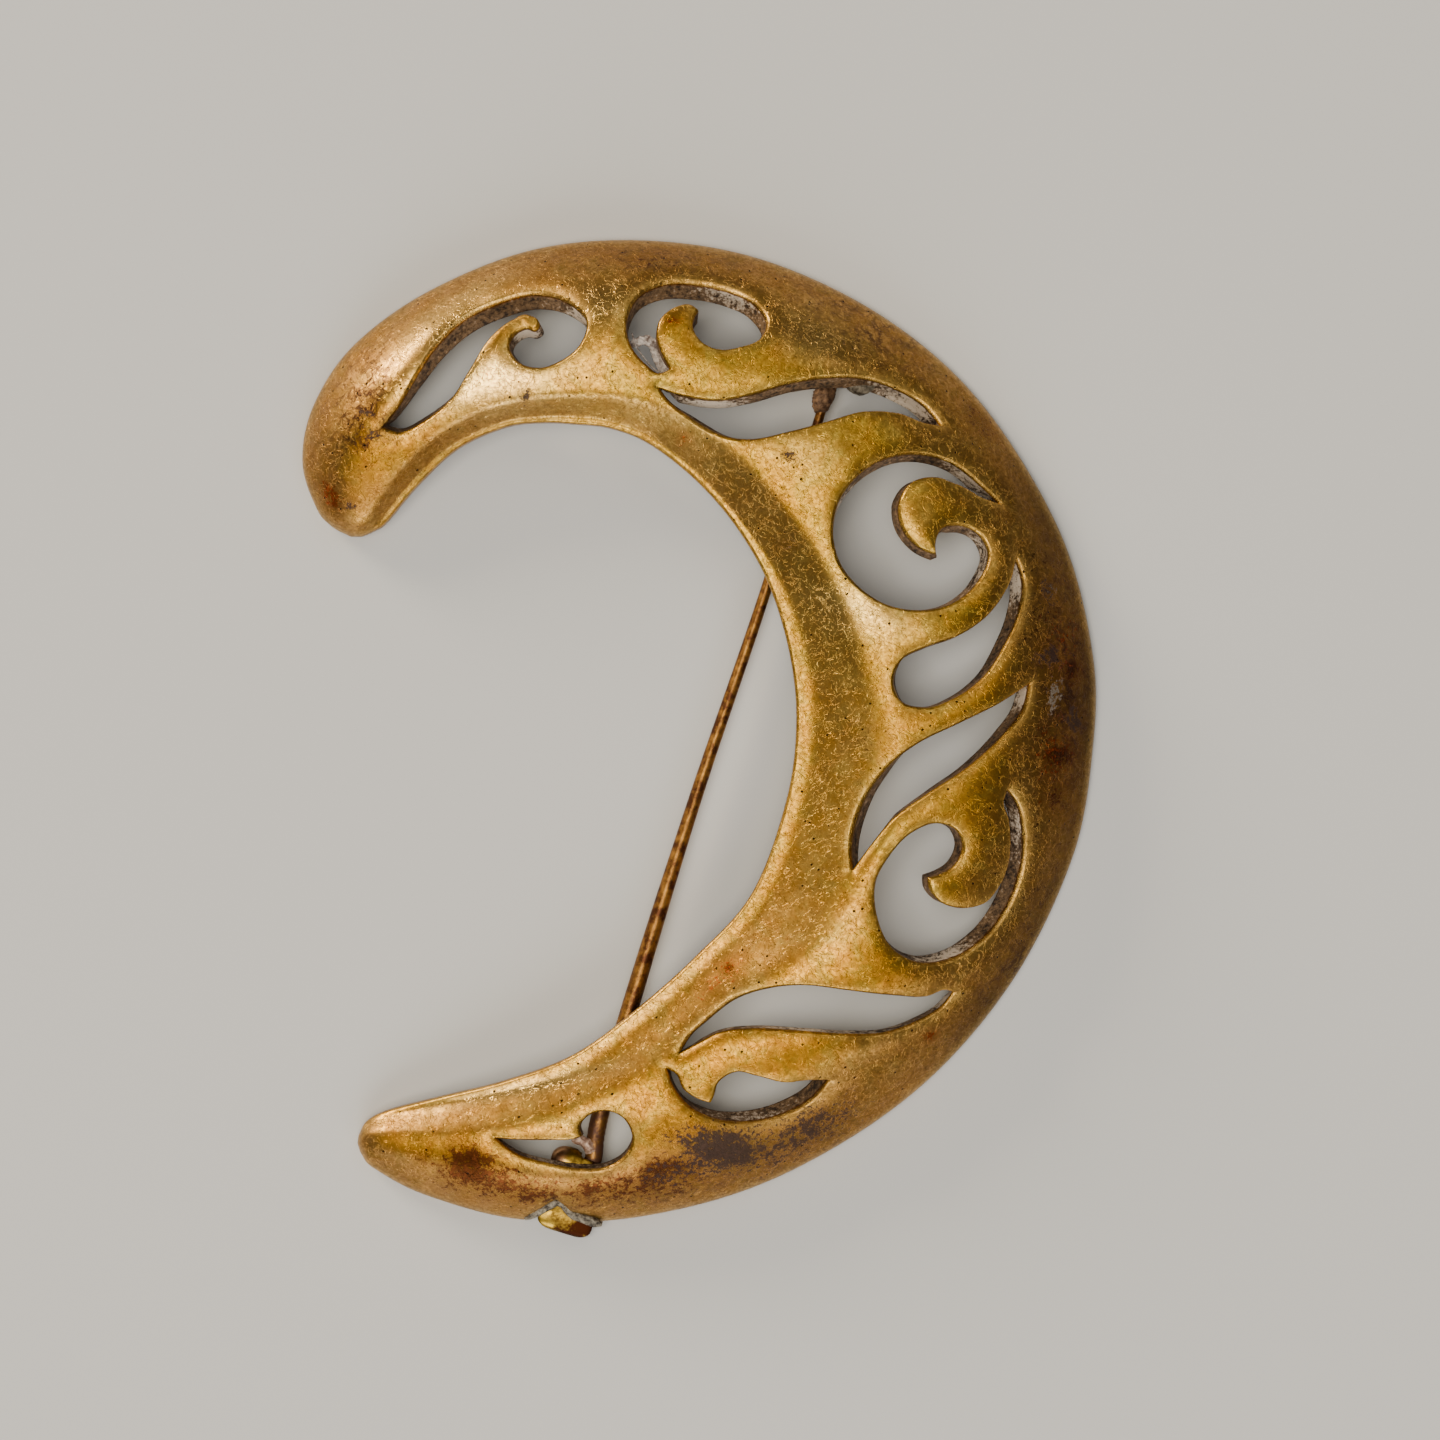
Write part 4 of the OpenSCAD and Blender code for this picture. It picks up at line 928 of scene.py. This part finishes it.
def mottled(name, grain, dark, pale, metallic, roughness, relief=0):
    """A dull material in two colours: up to one level of its noise, as wide as grain in
    millimetres, it is dark, and from another one on it is pale."""
    material, node, shader, mm = new_material(name)
    noise = node("TexNoise", {"Vector": mm, "Scale": 1 / grain, "Detail": 6, "Roughness": 0.7})
    tone = node("ValToRGB", (noise,), stops=(dark, pale))
    fill(shader, {"Base Color": tone, "Metallic": metallic, "Roughness": roughness})
    if relief:
        bump = node("Bump", {"Height": noise, "Strength": relief, "Distance": 0.0001})
        fill(shader, {"Normal": bump})
    return material


# Tin solder gone grey, porous, with brown dirt in its pores
solder = mottled("aged_soft_solder", 0.35, (0.4, "#2E2418"), (0.62, "#938874"), 0.35, 0.62, 0.8)
hinge_solder.data.materials.append(solder)
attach(hinge_solder, "brooch")
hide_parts("crescent")

# Catch
# A strip of brass bent to a C under the pin's point, on a stem that is soldered to the
# hollow back beside a round puddle of solder.
CATCH_AT = np.array([-0.04, 59.1, 1.3])
CATCH_MID_R, CATCH_HALF_T, CATCH_HALF_W, CATCH_STEM = 0.81, 0.19, 0.8, 2.9
around = np.radians(np.linspace(172, 360, 40))
curl = np.column_stack([CATCH_MID_R * np.cos(around), 0 * around, CATCH_MID_R * np.sin(around)])
z = np.linspace(0.2, CATCH_STEM, 14)
stem = np.column_stack([0 * z + CATCH_MID_R, 0 * z, z])
hook_path = CATCH_AT + np.concatenate([curl, stem])
half_t = np.full(len(hook_path), CATCH_HALF_T)
half_t[:3] *= ROUNDED
hook, hook_faces = carried(hook_path, np.array([0, 1.0, 0]),
                           np.full(len(hook_path), CATCH_HALF_W), half_t, 4, 28)
catch_hook = solid("catch_hook", in_hinge_frame(hook), hook_faces)
catch_hook.data.materials.append(sheet_brass)


def round_body(rows, steps, side, sides):
    """A round section carried through a table of x, y, z and radius."""
    path = smooth_path(rows, steps)
    return carried(path[:, :3], side, path[:, 3], path[:, 3], 2, sides)


FOOT_X, FOOT_Y = 11.4, 25.4
foot, foot_faces = round_body([[FOOT_X, FOOT_Y, z, r] for z, r in (
    (4.1, 1.25), (3.6, 1.25), (3.1, 1.2), (2.8, 0.9), (2.65, 0.45), (2.6, 0.1))], 5, ALONG, 32)
foot += lumps(foot, 1.7, 0.05)[:, None]
catch_foot = solid("catch_foot", foot, foot_faces)
catch_foot.data.materials.append(solder)
for piece in (catch_hook, catch_foot):
    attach(piece, "brooch")
    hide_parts("crescent")

# Casting flash
# A thin, whitish film of metal that was left in the foot of the arch scroll, with a wire
# of it along the wall.
FILM_T = 0.14
film_path = smooth_path([[-4.9, 27.5, 5.2, 0.2], [-4.3, 27.75, 5.25, 0.3], [-3.7, 27.9, 5.3, 0.34],
                         [-3.25, 27.75, 5.3, 0.36], [-3.0, 27.2, 5.25, 0.3],
                         [-2.75, 26.5, 5.2, 0.34], [-2.4, 25.9, 5.2, 0.36],
                         [-2.15, 25.5, 5.2, 0.2]], 7)
run = np.gradient(film_path[:, :3], axis=0)
film, film_faces = carried(film_path[:, :3], np.cross(run, UP), film_path[:, 3],
                           np.full(len(film_path), FILM_T / 2), 2, 20)
wire, wire_faces = round_body([[-4.62, 28.4, 5.3, 0.05], [-4.35, 27.5, 5.4, 0.06],
                               [-3.8, 26.7, 5.4, 0.06], [-3.1, 25.9, 5.4, 0.06],
                               [-2.4, 25.5, 5.4, 0.05]], 6, UP, 10)
film += lumps(film, 0.6, 0.05)[:, None]
casting_flash = solid("casting_flash", np.concatenate([film, wire]),
                      np.concatenate([film_faces, wire_faces + len(film)]))

# Oxidised casting skin under dried polish: white to grey brown, quite dull
skin = mottled("oxidised_casting_skin", 0.4, (0.38, "#5C4A40"), (0.6, "#C9BCB0"), 0.2, 0.7)
casting_flash.data.materials.append(skin)
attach(casting_flash, "brooch")
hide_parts("crescent")

# Pin
# Round brass wire, tapered to a point and slightly bowed. Its thick end is bent at a
# right angle, and the bent end is the axle that turns in the knuckle.
BEND_R, PIN_R, AXLE_R, AXLE_END = 0.75, 0.62, 0.5, -2.5
x = np.linspace(AXLE_END, -BEND_R, 14)[:-1]
axle = np.column_stack([x, 0 * x, 0 * x + HINGE_Z, 0 * x + AXLE_R])
around = np.radians(np.linspace(0, 90, 14))
elbow = np.column_stack([-BEND_R + BEND_R * np.sin(around), BEND_R - BEND_R * np.cos(around),
                         0 * around + HINGE_Z, AXLE_R + (PIN_R - AXLE_R) * around / around[-1]])
stem = smooth_path([[0, BEND_R, HINGE_Z, PIN_R], [-0.45, 3.9, HINGE_Z, PIN_R],
                    [-0.65, 12.6, 1.80, PIN_R], [-0.55, 27.3, 1.65, 0.47],
                    [-0.10, 41.9, 1.50, 0.40], [-0.05, 55.3, 1.35, 0.34],
                    [-0.03, 59.9, 1.30, 0.20], [-0.03, 60.7, 1.30, 0.05]], 24)[1:]
pin_path = np.concatenate([axle, elbow, stem])
pin, pin_faces = carried(pin_path[:, :3], UP, pin_path[:, 3], pin_path[:, 3], 2, 28)
# its first 6 mm are corroded, and rough but for the bend that turns in the knuckle
corroded = np.clip((6.0 - pin[:, 1]) / 4.0, 0, 1)
rough = corroded * np.clip((pin[:, 1] - 1.4) / 0.8, 0, 1)
pin[:, [0, 2]] += (rough * lumps(pin, 0.9, 0.035))[:, None]
pin_body = solid("pin_wire", in_hinge_frame(pin), pin_faces)
write_mask(pin_body, "corroded", corroded)

# Brass wire under an old brown patina, rubbed through in flecks along its top
patina, node, shader, mm = new_material("patinated_brass_wire")
worn = node("TexNoise", {"Vector": mm, "Scale": 1 / 0.8, "Detail": 7, "Roughness": 0.65})
tone = node("ValToRGB", (worn,), stops=((0.4, "#4A2914"), (0.64, "#9A6C30")))
corroded = node("Attribute", {}, out="Fac", attribute_name="corroded")
bare = node("MapRange", (worn, 0.4, 0.62, 1, 0.2))
crusted = node("Math", (corroded, bare), operation="MULTIPLY")
colour = node("Mix", {0: crusted, 6: tone, 7: linear("#5A3828")}, out=2, data_type="RGBA")
metal = node("MapRange", (crusted, 0, 1, 0.9, 0.3))
gloss = node("MapRange", (crusted, 0, 1, 0.4, 0.6))
relief = node("Bump", {"Height": worn, "Strength": 0.5, "Distance": 0.00005})
fill(shader, {"Base Color": colour, "Metallic": metal, "Roughness": gloss, "Normal": relief})
pin_body.data.materials.append(patina)
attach(pin_body, "pin")
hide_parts("pin_stem")

# Old solder at the pin's bend
# A pinkish brown lump, left where the bent wire was once mended beside the knuckle.
mend, mend_faces = round_body([[-1.85, 1.60, 2.0, 0.2], [-1.5, 1.68, 2.05, 0.32],
                               [-1.0, 1.68, 2.05, 0.42], [-0.5, 1.5, 2.0, 0.52],
                               [-0.15, 1.25, 1.95, 0.5], [0.1, 1.0, 1.9, 0.3]], 7, UP, 28)
mend += lumps(mend, 0.8, 0.05)[:, None]
pin_mend = solid("pin_mend", in_hinge_frame(mend), mend_faces)

# Solder gone pinkish brown under old polish, dull
mended = mottled("tarnished_solder", 0.5, (0.4, "#84604C"), (0.62, "#D8B69E"), 0.25, 0.5)
pin_mend.data.materials.append(mended)
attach(pin_mend, "pin")

# Crust on the pin
# A lump of brown corrosion, grown on the pin beside the catch.
crust, crust_faces = round_body([[-0.12, 55.7, 1.35, 0.3], [-0.16, 56.0, 1.4, 0.55],
                                 [-0.2, 56.6, 1.45, 0.7], [-0.16, 57.3, 1.45, 0.72],
                                 [-0.1, 57.9, 1.4, 0.6], [-0.06, 58.2, 1.35, 0.35]], 8, UP, 40)
crust += lumps(crust, 0.55, 0.07)[:, None]
pin_crust = solid("pin_crust", in_hinge_frame(crust), crust_faces)

# Brown corrosion, crumbly and dull
rusty = mottled("brown_corrosion", 0.35, (0.38, "#3A2112"), (0.64, "#8E6A48"), 0.1, 0.7, 0.9)
pin_crust.data.materials.append(rusty)
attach(pin_crust, "pin")

# Surface under the brooch, lights and camera
# A plain pale floor. The photograph's shadows and highlights show soft light from the low
# upper left, one broad lamp overhead and one low below it, and a faint fill from the right.
# The camera looks straight down.
floor_mesh = bpy.data.meshes.new("floor")
floor_mesh.from_pydata([(-3, -3, 0), (3, -3, 0), (3, 3, 0), (-3, 3, 0)], [], [(0, 1, 2, 3)])
floor = bpy.data.objects.new("floor", floor_mesh)
bpy.context.scene.collection.objects.link(floor)
paper = bpy.data.materials.new("pale_matt_paper")
paper.use_nodes = True
fill(paper.node_tree.nodes["Principled BSDF"], {"Base Color": linear("#BFBDB9"), "Roughness": 0.9})
floor.data.materials.append(paper)

# Square soft lamps that face the brooch: place, size in metres, watts and colour
for name, at, size, watts, colour in (
        ("lamp_overhead", (-0.13, -0.08, 0.78), 0.45, 6.0, "#FFF9EC"),
        ("lamp_low_upper_left", (-0.65, 0.63, 0.28), 0.3, 10.0, "#FFEED2"),
        ("lamp_low_below", (-0.14, -0.80, 0.40), 0.5, 5.5, "#FFFFFF"),
        ("lamp_faint_lower_right", (0.38, -0.56, 0.48), 0.3, 1.1, "#FFFFFF"),
        ("lamp_faint_upper_right", (0.29, 0.50, 0.69), 0.45, 1.1, "#FFFFFF")):
    data = bpy.data.lights.new(name, "AREA")
    data.shape, data.size, data.energy = "SQUARE", size, watts
    data.color = linear(colour)[:3]
    lamp = bpy.data.objects.new(name, data)
    lamp.location = at
    lamp.rotation_euler = (-Vector(at)).to_track_quat("-Z", "Y").to_euler()
    bpy.context.scene.collection.objects.link(lamp)
world = bpy.data.worlds.new("studio")
world.use_nodes = True
fill(world.node_tree.nodes["Background"], {"Color": linear("#6E6E72"), "Strength": 0.35})
bpy.context.scene.world = world

camera_data = bpy.data.cameras.new("camera")
camera_data.lens, camera_data.sensor_width = 150.0, 36.0
camera_data.clip_start, camera_data.clip_end = 0.01, 20.0
camera = bpy.data.objects.new("camera", camera_data)
camera.location = (0.00154, 0.00133, 0.425)
bpy.context.scene.collection.objects.link(camera)
bpy.context.scene.camera = camera
